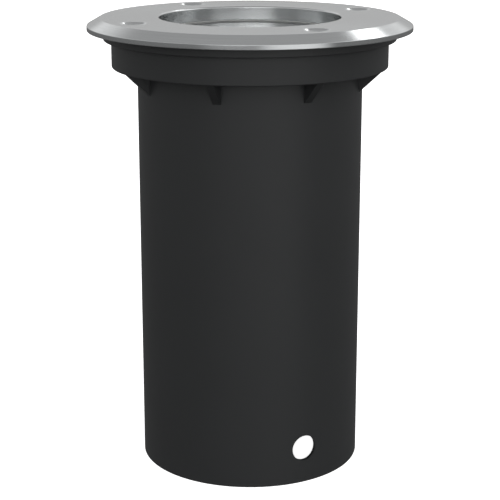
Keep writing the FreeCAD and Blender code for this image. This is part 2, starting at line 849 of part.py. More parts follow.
holder = turned_piece("lampholder", [
    ("0", holder_foot),
    ("holder_r", holder_foot),
    ("holder_r", holder_top, "holder_round"),
    ("0", holder_top),
])
well_sketch = new_sketch(holder, "XY_Plane", holder_top)
draw_circle(well_sketch, "pin_reach", "0", "pin_head_r + well_gap")
draw_circle(well_sketch, "-pin_reach", "0", "pin_head_r + well_gap")
pocket(holder, well_sketch, f"{holder_top} - {well_foot}")
holder_hole_sketch = new_sketch(holder, "XY_Plane", holder_foot)
draw_circle(holder_hole_sketch, "0", "holder_screw_reach", "holder_screw_r + thread_gap")
draw_circle(holder_hole_sketch, "0", "-holder_screw_reach", "holder_screw_r + thread_gap")
pocket(holder, holder_hole_sketch, "holder_screw_depth + lift_gap", backwards=True)

turned_studs("holder_contacts", "XZ_Plane", "pin_reach", [
    ("0", well_foot),
    ("pin_head_r", well_foot),
    ("pin_head_r", f"{well_foot} + contact_thick"),
    ("0", f"{well_foot} + contact_thick"),
], PIN_COUNT)

tab_foot = f"({cradle_foot} - strap_thick)"
strap_half = [
    (strap_tab_out, cradle_foot),
    (strap_tab_out, tab_foot),
    (f"({strap_tab_in} + {strap_lean})", tab_foot),
    (f"(strap_foot_half + {strap_lean})", strap_foot),
]
strap_inner_half = [
    ("strap_foot_half", holder_foot),
    (strap_tab_in, cradle_foot),
]
strap = new_body("holder_bracket")
strap_sketch = new_sketch(strap, "YZ_Plane")
draw_outline(
    strap_sketch,
    strap_half
    + [("-" + reach, level) for reach, level in reversed(strap_half)]
    + [("-" + reach, level) for reach, level in reversed(strap_inner_half)]
    + strap_inner_half,
)
pad(strap, strap_sketch, "strap_width", centred=True)
strap_hole_sketch = new_sketch(strap, "XY_Plane", holder_foot)
draw_circle(strap_hole_sketch, "0", "0", "lead_hole_r")
draw_circle(strap_hole_sketch, "0", "holder_screw_reach", "holder_screw_r + lift_gap")
draw_circle(strap_hole_sketch, "0", "-holder_screw_reach", "holder_screw_r + lift_gap")
pocket(strap, strap_hole_sketch, "strap_thick + overrun")
tab_hole_sketch = new_sketch(strap, "XY_Plane", cradle_foot)
draw_circle(tab_hole_sketch, "0", rivet_reach, "rivet_r + snug_gap")
draw_circle(tab_hole_sketch, "0", f"-{rivet_reach}", "rivet_r + snug_gap")
pocket(strap, tab_hole_sketch, "strap_thick + overrun")

turned_studs("holder_screws", "YZ_Plane", "holder_screw_reach", [
    ("0", f"{strap_foot} - holder_screw_head_thick"),
    ("holder_screw_head_r", f"{strap_foot} - holder_screw_head_thick"),
    ("holder_screw_head_r", strap_foot),
    ("holder_screw_r", strap_foot),
    ("holder_screw_r", f"{holder_foot} + holder_screw_depth"),
    ("0", f"{holder_foot} + holder_screw_depth"),
], RIVET_COUNT)

turned_studs("bracket_rivets", "YZ_Plane", rivet_reach, [
    ("0", f"{tab_foot} - rivet_head_thick"),
    ("rivet_head_r", f"{tab_foot} - rivet_head_thick"),
    ("rivet_head_r", tab_foot),
    ("rivet_r", tab_foot),
    ("rivet_r", cradle_lip_top),
    ("0", cradle_lip_top),
], RIVET_COUNT)


# Terminals: a plate on the housing's stands carries a three-pole block, with the earth point beside it.

terminal_sizes = {
    "plate_thick": 1.5,
    "plate_half_length": 38,
    "plate_half_width": 27,
    "plate_round": 6,
    "plate_cable_gap": 0.5,
    "small_head_r": 3.6,
    "small_head_thick": 2.4,
    "block_reach": 16,
    "block_length": 36,
    "block_half_width": 8,
    "block_step_half_width": 5.5,
    "block_step_height": 5.5,
    "block_height": 11.5,
    "pole_pitch": 12,
    "tunnel_r": 2.3,
    "tunnel_rise": 4.2,
    "tube_inner_r": 1.5,
    "clamp_screw_r": 1.4,
    "clamp_screw_reach": 3.4,
    "clamp_screw_sink": 1.2,
    "block_screw_r": 1.5,
    "block_screw_head_r": 2.8,
    "block_screw_head_thick": 1.8,
    "block_screw_tail": 3,
    "earth_washer_r": 4.4,
    "earth_washer_thick": 1,
}
add_sizes(terminal_sizes)

PLATE_SCREW_COUNT = 2
plate_top = f"({stand_top} + plate_thick)"
block_top = f"({plate_top} + block_height)"
tunnel_level = f"({plate_top} + tunnel_rise)"
poles = ["-pole_pitch", "0", "pole_pitch"]
clamp_rows = ["block_reach - clamp_screw_reach", "block_reach + clamp_screw_reach"]

plate = new_body("terminal_plate")
plate_sketch = new_sketch(plate, "XY_Plane", stand_top)
draw_outline(plate_sketch, [
    ("-plate_half_length", "-plate_half_width", "plate_round"),
    ("plate_half_length", "-plate_half_width", "plate_round"),
    ("plate_half_length", "plate_half_width", "plate_round"),
    ("-plate_half_length", "plate_half_width", "plate_round"),
])
draw_circle(plate_sketch, "0", "0", "gland_thread_r + plate_cable_gap")
draw_circle(plate_sketch, "plate_screw_reach", "0", "small_screw_r + lift_gap")
draw_circle(plate_sketch, "-plate_screw_reach", "0", "small_screw_r + lift_gap")
draw_circle(plate_sketch, "pole_pitch / 2", "block_reach", "block_screw_r + thread_gap")
pad(plate, plate_sketch, "plate_thick")

turned_studs("plate_screws", "XZ_Plane", "plate_screw_reach", [
    ("0", f"{stand_top} - small_screw_depth"),
    ("small_screw_r", f"{stand_top} - small_screw_depth"),
    ("small_screw_r", plate_top),
    ("small_head_r", plate_top),
    ("small_head_r", f"{plate_top} + small_head_thick", "small_head_thick / 2"),
    ("0", f"{plate_top} + small_head_thick"),
], PLATE_SCREW_COUNT)

block = new_body("terminal_block")
block_sketch = new_sketch(block, "YZ_Plane")
draw_outline(block_sketch, [
    ("block_reach - block_half_width", plate_top),
    ("block_reach + block_half_width", plate_top),
    ("block_reach + block_half_width", f"{plate_top} + block_step_height"),
    ("block_reach + block_step_half_width", f"{plate_top} + block_step_height"),
    ("block_reach + block_step_half_width", block_top),
    ("block_reach - block_step_half_width", block_top),
    ("block_reach - block_step_half_width", f"{plate_top} + block_step_height"),
    ("block_reach - block_half_width", f"{plate_top} + block_step_height"),
])
pad(block, block_sketch, "block_length", centred=True)
tunnel_sketch = new_sketch(block, "XZ_Plane", "-block_reach")
for pole in poles:
    draw_circle(tunnel_sketch, pole, tunnel_level, "tunnel_r")
pocket(block, tunnel_sketch, "2 * block_half_width + overrun", centred=True)
clamp_hole_sketch = new_sketch(block, "XY_Plane", block_top)
for pole in poles:
    for row in clamp_rows:
        draw_circle(clamp_hole_sketch, pole, row, "clamp_screw_r + thread_gap")
pocket(block, clamp_hole_sketch, f"{block_top} - {tunnel_level}")
block_screw_sketch = new_sketch(block, "XY_Plane", block_top)
draw_circle(block_screw_sketch, "pole_pitch / 2", "block_reach", "block_screw_r + thread_gap")
pocket(block, block_screw_sketch, "block_height + overrun")
block_head_sketch = new_sketch(block, "XY_Plane", block_top)
draw_circle(block_head_sketch, "pole_pitch / 2", "block_reach", "block_screw_head_r + thread_gap")
pocket(block, block_head_sketch, "block_screw_head_thick + clamp_screw_sink")

tubes = new_body("terminal_tubes")
tube_sketch = new_sketch(tubes, "XZ_Plane", "-block_reach")
for pole in poles:
    draw_circle(tube_sketch, pole, tunnel_level, "tunnel_r - snug_gap")
    draw_circle(tube_sketch, pole, tunnel_level, "tube_inner_r")
pad(tubes, tube_sketch, "2 * block_step_half_width", centred=True)
tube_hole_sketch = new_sketch(tubes, "XY_Plane", block_top)
for pole in poles:
    for row in clamp_rows:
        draw_circle(tube_hole_sketch, pole, row, "clamp_screw_r + thread_gap")
pocket(tubes, tube_hole_sketch, f"{block_top} - {tunnel_level}")

clamps = new_body("terminal_screws")
clamp_sketch = new_sketch(clamps, "XY_Plane", tunnel_level)
for pole in poles:
    for row in clamp_rows:
        draw_circle(clamp_sketch, pole, row, "clamp_screw_r")
pad(clamps, clamp_sketch, f"{block_top} - {tunnel_level} - clamp_screw_sink")

block_screw = new_body("block_screw")
block_screw_shank_sketch = new_sketch(block_screw, "XY_Plane", f"{stand_top} - block_screw_tail")
draw_circle(block_screw_shank_sketch, "pole_pitch / 2", "block_reach", "block_screw_r")
head_seat = f"({block_top} - block_screw_head_thick - clamp_screw_sink)"
block_screw_length = f"{head_seat} + block_screw_head_thick - ({stand_top} - block_screw_tail)"
pad(block_screw, block_screw_shank_sketch, block_screw_length)
block_screw_head_sketch = new_sketch(block_screw, "XY_Plane", head_seat)
draw_circle(block_screw_head_sketch, "pole_pitch / 2", "block_reach", "block_screw_head_r")
pad(block_screw, block_screw_head_sketch, "block_screw_head_thick")

turned_studs("earth_screw", "YZ_Plane", "-earth_reach", [
    ("0", f"{stand_top} - small_screw_depth"),
    ("small_screw_r", f"{stand_top} - small_screw_depth"),
    ("small_screw_r", f"{stand_top} + earth_washer_thick"),
    ("small_head_r", f"{stand_top} + earth_washer_thick"),
    ("small_head_r", f"{stand_top} + earth_washer_thick + small_head_thick", "small_head_thick / 2"),
    ("0", f"{stand_top} + earth_washer_thick + small_head_thick"),
], 1)
turned_studs("earth_washer", "YZ_Plane", "-earth_reach", [
    ("small_screw_r + lift_gap", stand_top),
    ("earth_washer_r", stand_top),
    ("earth_washer_r", f"{stand_top} + earth_washer_thick"),
    ("small_screw_r + lift_gap", f"{stand_top} + earth_washer_thick"),
], 1)


# Cable gland: a threaded body through the housing's floor with a flat washer outside and a locknut inside.
# A soft ring inside it closes on the cable when the domed cap nut is tightened.

gland_sizes = {
    "gland_hex_r": 12.7,
    "gland_hex_height": 5,
    "gland_tail_r": 8.8,
    "gland_tail_height": 8.5,
    "gland_cup_r": 7,
    "gland_cup_depth": 6.5,
    "gland_throat_r": 5.2,
    "gland_top_height": 12.7,
    "gland_washer_thick": 1.5,
    "gland_washer_r": 11.6,
    "locknut_height": 3.5,
    "cable_r": 4,
    "seal_tail": 4,
    "cap_hex_r": 12.4,
    "cap_height": 13.5,
    "cap_floor": 2,
    "cap_dome_height": 4.5,
    "cap_dome_r": 8.5,
    "cap_clear": 1,
}
add_sizes(gland_sizes)

HEX_SIDES = 6
washer_foot = f"({gland_face} - gland_washer_thick)"
hex_foot = f"({washer_foot} - gland_hex_height)"
tail_foot = f"({hex_foot} - gland_tail_height)"
seal_ring_top = f"({tail_foot} + gland_cup_depth)"
seal_ring_foot = f"({tail_foot} - seal_tail)"
cap_top = f"({hex_foot} - cap_clear)"
cap_foot = f"({seal_ring_foot} - cap_floor)"


def hex_bar(name, radius, foot, height):
    bar = doc.addObject("Part::Prism", name)
    bar.Polygon = HEX_SIDES
    bar.setExpression("Circumradius", linked(radius))
    bar.setExpression("Height", linked(height))
    bar.setExpression("Placement.Base.z", linked(foot))
    return bar


def round_bar(name, radius, foot, height):
    bar = doc.addObject("Part::Cylinder", name)
    bar.setExpression("Radius", linked(radius))
    bar.setExpression("Height", linked(height))
    bar.setExpression("Placement.Base.z", linked(foot))
    return bar


def cut_bar(label, outside, holes):
    """The fused outer bars less the fused holes."""
    solid = outside[0]
    if len(outside) > 1:
        solid = doc.addObject("Part::MultiFuse", label + "_outside")
        solid.Shapes = outside
    hollow = holes[0]
    if len(holes) > 1:
        hollow = doc.addObject("Part::MultiFuse", label + "_holes")
        hollow.Shapes = holes
    piece = doc.addObject("Part::Cut", label)
    piece.Base = solid
    piece.Tool = hollow
    piece.Label = label
    nodes.append(piece)
    return piece


cut_bar("gland_body", [
    hex_bar("gland_hex", "gland_hex_r", hex_foot, "gland_hex_height"),
    round_bar("gland_thread", "gland_thread_r", hex_foot, "gland_hex_height + gland_top_height"),
    round_bar("gland_tail", "gland_tail_r", tail_foot, "gland_tail_height + gland_hex_height / 2"),
], [
    round_bar("gland_throat", "gland_throat_r", f"{tail_foot} - overrun",
              "gland_tail_height + gland_hex_height + gland_top_height + 2 * overrun"),
    round_bar("gland_cup", "gland_cup_r", f"{tail_foot} - overrun", "gland_cup_depth + overrun"),
])

cut_bar("gland_washer", [
    round_bar("gland_washer_disc", "gland_washer_r", washer_foot, "gland_washer_thick"),
], [
    round_bar("gland_washer_hole", "gland_thread_r + lift_gap", f"{washer_foot} - overrun",
              "gland_washer_thick + 2 * overrun"),
])

cut_bar("gland_locknut", [
    hex_bar("gland_locknut_hex", "gland_hex_r", pot_floor, "locknut_height"),
], [
    round_bar("gland_locknut_hole", "gland_thread_r + thread_gap", f"{pot_floor} - overrun",
              "locknut_height + 2 * overrun"),
])

cut_bar("gland_seal", [
    round_bar("gland_seal_ring", "gland_cup_r - snug_gap", seal_ring_foot,
              f"{seal_ring_top} - {seal_ring_foot}"),
], [
    round_bar("gland_seal_hole", "cable_r", f"{seal_ring_foot} - overrun",
              f"{seal_ring_top} - {seal_ring_foot} + 2 * overrun"),
])

cap_dome = doc.addObject("Part::Cone", "gland_cap_dome")
cap_dome.setExpression("Radius1", linked("cap_dome_r"))
cap_dome.setExpression("Radius2", linked("cap_hex_r * cos(30)"))
cap_dome.setExpression("Height", linked("cap_dome_height"))
cap_dome.setExpression("Placement.Base.z", linked(cap_foot))
cut_bar("gland_nut", [
    hex_bar("gland_cap_hex", "cap_hex_r", f"{cap_foot} + cap_dome_height",
            f"{cap_top} - {cap_foot} - cap_dome_height"),
    cap_dome,
], [
    round_bar("gland_cap_mouth", "gland_throat_r", f"{cap_foot} - overrun", "cap_floor + 2 * overrun"),
    round_bar("gland_cap_well", "gland_cup_r + lift_gap", seal_ring_foot, "seal_tail + overrun"),
    round_bar("gland_cap_thread", "gland_tail_r + thread_gap", tail_foot,
              f"{cap_top} - {tail_foot} + overrun"),
])


# Tests and export

doc.recompute()
for item in doc.Objects:
    if "Invalid" in item.State or "Error" in item.State:
        raise RuntimeError(f"{item.Label} did not build")
for node in nodes:
    if node.Shape.isNull() or not node.Shape.isValid():
        raise RuntimeError(f"{node.Label} has no sound shape")

os.makedirs("parts", exist_ok=True)
for node in nodes:
    node.Shape.exportStep(f"parts/{node.Label}.step")
print(len(nodes), "nodes,", sum(len(node.Shape.Solids) for node in nodes), "solids")
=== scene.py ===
import bmesh
import bpy
import math
from mathutils import Matrix, Vector


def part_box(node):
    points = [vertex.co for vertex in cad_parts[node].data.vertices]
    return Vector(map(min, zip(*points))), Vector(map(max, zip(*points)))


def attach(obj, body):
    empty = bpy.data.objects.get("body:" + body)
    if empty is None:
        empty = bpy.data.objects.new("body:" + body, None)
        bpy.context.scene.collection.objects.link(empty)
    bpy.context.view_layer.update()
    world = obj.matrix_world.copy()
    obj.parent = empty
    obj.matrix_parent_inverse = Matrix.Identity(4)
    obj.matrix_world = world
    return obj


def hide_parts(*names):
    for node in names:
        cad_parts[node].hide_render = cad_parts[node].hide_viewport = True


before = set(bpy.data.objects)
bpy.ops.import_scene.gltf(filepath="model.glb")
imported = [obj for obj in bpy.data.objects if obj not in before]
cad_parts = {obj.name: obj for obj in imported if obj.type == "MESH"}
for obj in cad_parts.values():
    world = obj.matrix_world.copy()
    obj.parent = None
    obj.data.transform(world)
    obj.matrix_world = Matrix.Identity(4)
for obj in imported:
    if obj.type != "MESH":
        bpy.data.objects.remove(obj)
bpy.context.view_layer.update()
mm = 0.001


# Mounting sleeve: the tube that is set in the ground, with a wide collar and lip at its top, eight gussets
# under the collar and four screw bosses inside. It is one injection moulding in satin black plastic, so its
# edges are softly rounded and its surface has a fine spark-eroded grain.

sleeve_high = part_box("mounting_sleeve")[1]
sleeve_top = sleeve_high.z
lip_r = sleeve_high.x
tube_r = 69.6 * mm
tube_bore = 67.2 * mm
tube_middle = (tube_r + tube_bore) / 2
collar_r = 85.35 * mm
collar_bore = 82.35 * mm
collar_foot = sleeve_top - 22.4 * mm
collar_slope = 1.2 * mm
lip_foot = sleeve_top - 5.7 * mm
ledge = sleeve_top - 19.4 * mm
ledge_bevel = 4.3 * mm
rib_count = 8
rib_foot = sleeve_top - 35.9 * mm
rib_head = collar_foot + 0.5 * mm
rib_reach = 84.5 * mm
rib_thick = 5.2 * mm
screw_count = 4
screw_circle_r = 78.5 * mm
boss_r = 5.4 * mm
boss_top = sleeve_top - 0.1 * mm
boss_hole_r = 3.55 * mm
boss_hole_foot = sleeve_top - 15 * mm
cable_hole_r = 8.1 * mm
cable_hole_height = 22.7 * mm
cable_hole_margin = 1.5 * cable_hole_r
moulded_round = 0.5 * mm
fine_edge = 0.3 * mm
overrun = 2 * mm
same_point = 0.0005 * mm
near = 0.01 * mm
quarter_turn = math.pi / 2


def rounded(corners, steps=6):
    """The outline's points, each corner (radius, height, round) turned into an arc."""
    points = []
    for index, corner in enumerate(corners):
        here = Vector(corner[:2])
        if not any(corner[2:]):
            points.append(tuple(here))
            continue
        before = Vector(corners[index - 1][:2]) - here
        after = Vector(corners[(index + 1) % len(corners)][:2]) - here
        half_angle = before.angle(after) / 2
        inwards = (before.normalized() + after.normalized()).normalized()
        centre = here + inwards * corner[2] / math.sin(half_angle)
        setback = corner[2] / math.tan(half_angle)
        first = here + before.normalized() * setback - centre
        turn = first.angle_signed(here + after.normalized() * setback - centre)
        for step in range(steps + 1):
            spoke = first.copy()
            spoke.rotate(Matrix.Rotation(-turn * step / steps, 2))
            points.append(tuple(centre + spoke))
    return points


def mesh_piece(name, shape):
    """Turns finished bmesh geometry into an object at the origin."""
    bmesh.ops.recalc_face_normals(shape, faces=shape.faces)
    piece = bpy.data.objects.new(name, bpy.data.meshes.new(name))
    shape.to_mesh(piece.data)
    shape.free()
    bpy.context.collection.objects.link(piece)
    return piece


def turned(name, outline, sides=256, centre=(0, 0), upright=True):
    """A closed surface made by turning an outline of (radius, height) points about an axis along Z or X."""
    shape = bmesh.new()
    rings = []
    for radius, height in outline:
        ring = []
        for side in range(sides if radius > 0 else 1):
            angle = 2 * math.pi * side / sides
            spot = (centre[0] + radius * math.cos(angle), centre[1] + radius * math.sin(angle))
            ring.append(shape.verts.new((*spot, height) if upright else (height, *spot)))
        rings.append(ring)
    for ring, following in zip(rings, rings[1:] + rings[:1]):
        for side in range(sides):
            walk = ((ring, side), (ring, side + 1), (following, side + 1), (following, side))
            corners = list(dict.fromkeys(loop[step % len(loop)] for loop, step in walk))
            if len(corners) > 2:
                shape.faces.new(corners)
    return mesh_piece(name, shape)


def rod(name, radius, low, high, *place):
    """A plain cylinder between two heights."""
    return turned(name, [(0, low), (radius, low), (radius, high), (0, high)], *place)


def button(name, radius, low, high, edges, steps, *place):
    """A cylinder whose edges at the two heights are rounded as given."""
    corners = [(0, low), (radius, low, edges[0]), (radius, high, edges[1]), (0, high)]
    return turned(name, rounded(corners, steps), *place)


def shift(piece, angle=0, axis="Z", by=(0, 0, 0)):
    """Turns a piece's mesh about an axis through the origin and then moves it."""
    piece.data.transform(Matrix.Translation(by) @ Matrix.Rotation(angle, 4, axis))


def settle(piece):
    """Replaces the piece's mesh by what its modifiers make of it."""
    graph = bpy.context.evaluated_depsgraph_get()
    result = bpy.data.meshes.new_from_object(piece.evaluated_get(graph))
    piece.modifiers.clear()
    piece.data = result


def combine(piece, others, operation):
    """Cuts other pieces from this one, or joins them to it, deletes them and welds what falls together."""
    for other in others:
        step = piece.modifiers.new("shape", "BOOLEAN")
        step.operation = operation
        step.solver = "EXACT"
        step.object = other
        settle(piece)
        bpy.data.objects.remove(other)
        shape = bmesh.new()
        shape.from_mesh(piece.data)
        bmesh.ops.remove_doubles(shape, verts=shape.verts, dist=same_point)
        bmesh.ops.dissolve_degenerate(shape, edges=shape.edges, dist=same_point)
        shape.to_mesh(piece.data)
        shape.free()


def finish_piece(piece, body, material, slot, *nodes, crease=35):
    """Smooths a piece between its creases, gives it its material, ties it to its body and hides its CAD
    nodes.
    """
    piece.data.materials.clear()
    piece.data.materials.append(material)
    for face in piece.data.polygons:
        face.material_index = 0
    piece.data.shade_smooth()
    piece.data.set_sharp_from_angle(angle=math.radians(crease))
    weights = piece.modifiers.new("even shading", "WEIGHTED_NORMAL")
    weights.keep_sharp = True
    settle(piece)
    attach(piece, body)
    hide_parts(*nodes)


def plug(tree, node, *terms, **values):
    """Sets a node's properties and sockets by name, with underscores for spaces, and terms by their order.

    A value that is another node's output is linked to the socket.
    """
    for key, value in [*values.items(), *enumerate(terms)]:
        if isinstance(key, str) and hasattr(node, key):
            setattr(node, key, value)
            continue
        socket = node.inputs[key.replace("_", " ") if isinstance(key, str) else key]
        if isinstance(value, bpy.types.NodeSocket):
            tree.links.new(value, socket)
        else:
            socket.default_value = value
    return node


def add_node(tree, kind, *terms, **values):
    """Adds a node with its properties and sockets set."""
    return plug(tree, tree.nodes.new(kind), *terms, **values)


def maths(tree, operation, *terms):
    """The result of a sum with numbers or other nodes' outputs."""
    return add_node(tree, "ShaderNodeMath", *terms, operation=operation).outputs[0]


def noise(tree, scale, detail=3, stretch=(1, 1, 1)):
    """Noise on the piece's own coordinates, so that it stays put when the piece moves."""
    place = add_node(tree, "ShaderNodeTexCoord").outputs["Object"]
    mapping = add_node(tree, "ShaderNodeMapping", Vector=place, Scale=stretch)
    return add_node(tree, "ShaderNodeTexNoise", Vector=mapping.outputs["Vector"], Scale=scale,
                    Detail=detail).outputs["Fac"]


def spread(tree, source, low, high):
    """Maps a factor to a range."""
    return add_node(tree, "ShaderNodeMapRange", Value=source, To_Min=low, To_Max=high).outputs["Result"]


def blend(tree, factor, dark, light):
    """Mixes two colours by a factor."""
    mix = add_node(tree, "ShaderNodeMix", data_type="RGBA", Factor=factor, A=dark, B=light)
    return mix.outputs["Result"]


def shade(colour, factor=1, lift=0):
    """A colour made darker or lighter."""
    return [min(channel * factor + lift, 1) for channel in colour[:3]] + [1]


def relief(tree, grains, strength, distance):
    """A chain of bump nodes, one for each grain of (height, share)."""
    normal = {}
    for height, share in grains:
        bump = add_node(tree, "ShaderNodeBump", Strength=strength * share, Distance=distance,
                        Height=height, **normal)
        normal = {"Normal": bump.outputs["Normal"]}
    return normal


def new_material(name):
    """An empty node material, its tree and its shader."""
    material = bpy.data.materials.new(name)
    material.use_nodes = True
    return material, material.node_tree, material.node_tree.nodes["Principled BSDF"]


def surface(name, tones, cloud, gloss, rough, grains, strength, distance, **sockets):
    """A material with two clouded tones, a gloss that varies in the range rough, and a fine relief.

    cloud and gloss are noises, and each of the grains is a noise with its share of the relief.
    """
    material, tree, shader = new_material(name)
    heights = [(noise(tree, *grain), share) for *grain, share in grains]
    sockets.update(relief(tree, heights, strength, distance))
    plug(tree, shader, Base_Color=blend(tree, noise(tree, *cloud), *tones),
         Roughness=spread(tree, noise(tree, gloss), *rough), **sockets)
    return material


def moulded_plastic(name, colour, roughness, grain=2600):
    """Plastic with a fine spark-eroded grain and slight flow marks in its gloss."""
    return surface(name, (shade(colour, 0.93), shade(colour, 1.07)), (18,), 60,
                   (roughness - 0.04, roughness + 0.05), [(grain, 2, 1), (grain / 6, 1, 0.4)],
                   0.12, 0.05 * mm, Specular_IOR_Level=0.42)


def copies_tree(name, sizes, lay_out):
    """A tree that sets copies of an object on points, makes them real and gives them their material.

    The sizes are its own inputs with their types, and lay_out makes the points from them.
    """
    tree = bpy.data.node_groups.new(name, "GeometryNodeTree")
    for label, kind in {"Geometry": "Geometry", "Piece": "Object", **sizes, "Material": "Material"}.items():
        tree.interface.new_socket(label, in_out="INPUT", socket_type="NodeSocket" + kind)
    tree.interface.new_socket("Geometry", in_out="OUTPUT", socket_type="NodeSocketGeometry")
    given = tree.nodes.new("NodeGroupInput").outputs
    source = add_node(tree, "GeometryNodeObjectInfo", Object=given["Piece"])
    copies = add_node(tree, "GeometryNodeInstanceOnPoints", Instance=source.outputs["Geometry"],
                      **lay_out(tree, given))
    real = add_node(tree, "GeometryNodeRealizeInstances", Geometry=copies.outputs["Instances"])
    paint = add_node(tree, "GeometryNodeSetMaterial", Geometry=real.outputs["Geometry"],
                     Material=given["Material"])
    add_node(tree, "NodeGroupOutput", Geometry=paint.outputs["Geometry"])
    return tree


def on_circle(tree, given):
    """Points on a circle about Z, each turned to face outwards."""
    line = add_node(tree, "GeometryNodeMeshLine", Count=given["Count"], Offset=(0, 0, 0))
    index = add_node(tree, "GeometryNodeInputIndex").outputs["Index"]
    angle = maths(tree, "MULTIPLY", index, maths(tree, "DIVIDE", 2 * math.pi, given["Count"]))
    across, along = [maths(tree, "MULTIPLY", maths(tree, wave, angle), given["Radius"])
                     for wave in ("COSINE", "SINE")]
    spot = add_node(tree, "ShaderNodeCombineXYZ", across, along)
    place = add_node(tree, "GeometryNodeSetPosition", Geometry=line.outputs["Mesh"],
                     Position=spot.outputs["Vector"])
    facing = add_node(tree, "ShaderNodeCombineXYZ", Z=angle)
    return {"Points": place.outputs["Geometry"], "Rotation": facing.outputs["Vector"]}


def set_copies(name, tree, **values):
    """What the tree makes of a piece, as one plain mesh. The piece itself is deleted."""
    row = bpy.data.objects.new(name, bpy.data.meshes.new(name))
    bpy.context.collection.objects.link(row)
    step = row.modifiers.new(tree.name, "NODES")
    step.node_group = tree
    for item in tree.interface.items_tree:
        if item.in_out == "INPUT" and item.name in values:
            step[item.identifier] = values[item.name]
    settle(row)
    bpy.data.objects.remove(values["Piece"])
    return row


round_row = copies_tree("round_row", {"Count": "Int", "Radius": "Float"}, on_circle)


def repeat_round(name, piece, count, radius, material):
    """Copies of a piece on a circle about Z."""
    return set_copies(name, round_row, Piece=piece, Count=count, Radius=radius, Material=material)


def flat_bar(name, corners, thick):
    """A plate whose outline of (across, up) corners stands on the X axis, as thick as given along Y."""
    shape = bmesh.new()
    sides = []
    for offset in (-thick / 2, thick / 2):
        sides.append([shape.verts.new((across, offset, up)) for across, up in corners])
        shape.faces.new(sides[-1])
    for index in range(len(corners)):
        ahead = (index + 1) % len(corners)
        shape.faces.new((sides[0][index], sides[0][ahead], sides[1][ahead], sides[1][index]))
    return mesh_piece(name, shape)


black_plastic = moulded_plastic("black_plastic", (0.030, 0.0315, 0.0325), 0.46)
sleeve = turned("sleeve_shell", rounded([
    (tube_bore, 0, moulded_round),
    (tube_r, 0, moulded_round),
    (tube_r, cable_hole_height - cable_hole_margin),
    (tube_r, cable_hole_height + cable_hole_margin),
    (tube_r, rib_foot - 1.5 * mm),
    (tube_r, collar_foot - collar_slope, 1 * mm),
    (collar_r, collar_foot, 0.7 * mm),
    (collar_r, lip_foot, fine_edge),
    (lip_r, lip_foot, 0.6 * mm),
    (lip_r, sleeve_top, moulded_round),
    (collar_bore, sleeve_top, moulded_round),
    (collar_bore, ledge + ledge_bevel),
    (collar_bore - ledge_bevel, ledge, moulded_round),
    (tube_bore, ledge, moulded_round),
    (tube_bore, cable_hole_height + cable_hole_margin),
    (tube_bore, cable_hole_height - cable_hole_margin),
]))
cable_hole = rod("cable_hole", cable_hole_r, -tube_r - overrun, -tube_bore + overrun, 64)
shift(cable_hole, -quarter_turn, "X", (0, 0, cable_hole_height))
combine(sleeve, [cable_hole], "DIFFERENCE")
rib_lean = (rib_head - rib_foot) / (rib_reach - tube_r)
rib = flat_bar("rib", [
    (tube_middle, rib_foot - rib_lean * (tube_r - tube_middle)),
    (rib_reach, rib_head),
    (tube_middle, rib_head),
], rib_thick)
soften = rib.modifiers.new("edges", "BEVEL")
soften.width = fine_edge
soften.segments = 2
soften.limit_method = "ANGLE"
settle(rib)
ribs = repeat_round("ribs", rib, rib_count, 0, black_plastic)
boss = button("boss", boss_r, rib_head, boss_top, (0, fine_edge), 6, 48)
bosses = repeat_round("bosses", boss, screw_count, screw_circle_r, black_plastic)
boss_hole = rod("boss_hole", boss_hole_r, sleeve_top + overrun, boss_hole_foot, 48)
boss_holes = repeat_round("boss_holes", boss_hole, screw_count, screw_circle_r, black_plastic)
combine(sleeve, [ribs, bosses], "UNION")
combine(sleeve, [boss_holes], "DIFFERENCE")
finish_piece(sleeve, "sleeve", black_plastic, "black_plastic", "mounting_sleeve")


# Threaded inserts: four turned brass bushes pressed into the sleeve's bosses, each with two knurled bands
# that grip the plastic and a plain waist between them.

low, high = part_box("threaded_inserts")
insert_r = 3.5 * mm
insert_bore = 2.52 * mm
insert_waist_r = 3.0 * mm
insert_bevel = 0.4 * mm
insert_band = 0.34 * (high.z - low.z)
knurl_teeth = 36
knurl_depth = 0.2 * mm


def machined_metal(name, colour, roughness, scratch=900, metallic=1.0):
    """Turned or stamped metal with fine tool marks and small changes of gloss."""
    return surface(name, (shade(colour, 0.9), shade(colour)), (90,), 240,
                   (roughness - 0.06, roughness + 0.08), [(scratch, 3, (1, 1, 8), 1)],
                   0.15, 0.02 * mm, Metallic=metallic)


brass = machined_metal("brass", (0.78, 0.58, 0.26), 0.28)
insert = turned("insert", [
    (insert_bore, low.z),
    (insert_r, low.z),
    (insert_r, low.z + insert_band),
    (insert_waist_r, low.z + insert_band + insert_bevel),
    (insert_waist_r, high.z - insert_band - insert_bevel),
    (insert_r, high.z - insert_band),
    (insert_r, high.z),
    (insert_bore, high.z),
], 2 * knurl_teeth)
for vertex in insert.data.vertices:
    tooth = round(math.atan2(vertex.co.y, vertex.co.x) / math.pi * knurl_teeth) % 2
    if tooth and vertex.co.xy.length > insert_r - near:
        vertex.co.xy *= 1 - knurl_depth / insert_r
inserts = repeat_round("inserts", insert, screw_count, screw_circle_r, brass)
finish_piece(inserts, "sleeve", brass, "brass", "threaded_inserts", crease=20)


# Flange gasket: a flat ring cut from soft black rubber sheet. It lies loose between the sleeve's ledge and
# the housing's flange, and keeps the ground water out of the sleeve.

low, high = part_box("flange_gasket")
gasket_bore = 67.5 * mm
gasket_edge = 0.35 * mm


def soft_rubber(name, colour, roughness):
    """Matt rubber with a pale bloom in soft clouds and a slightly uneven skin."""
    return surface(name, (shade(colour), shade(colour, 1.35, 0.004)), (110, 4), 320,
                   (roughness - 0.06, roughness + 0.08), [(1500, 3, 1), (260, 3, 0.6)],
                   0.25, 0.05 * mm, Specular_IOR_Level=0.3)


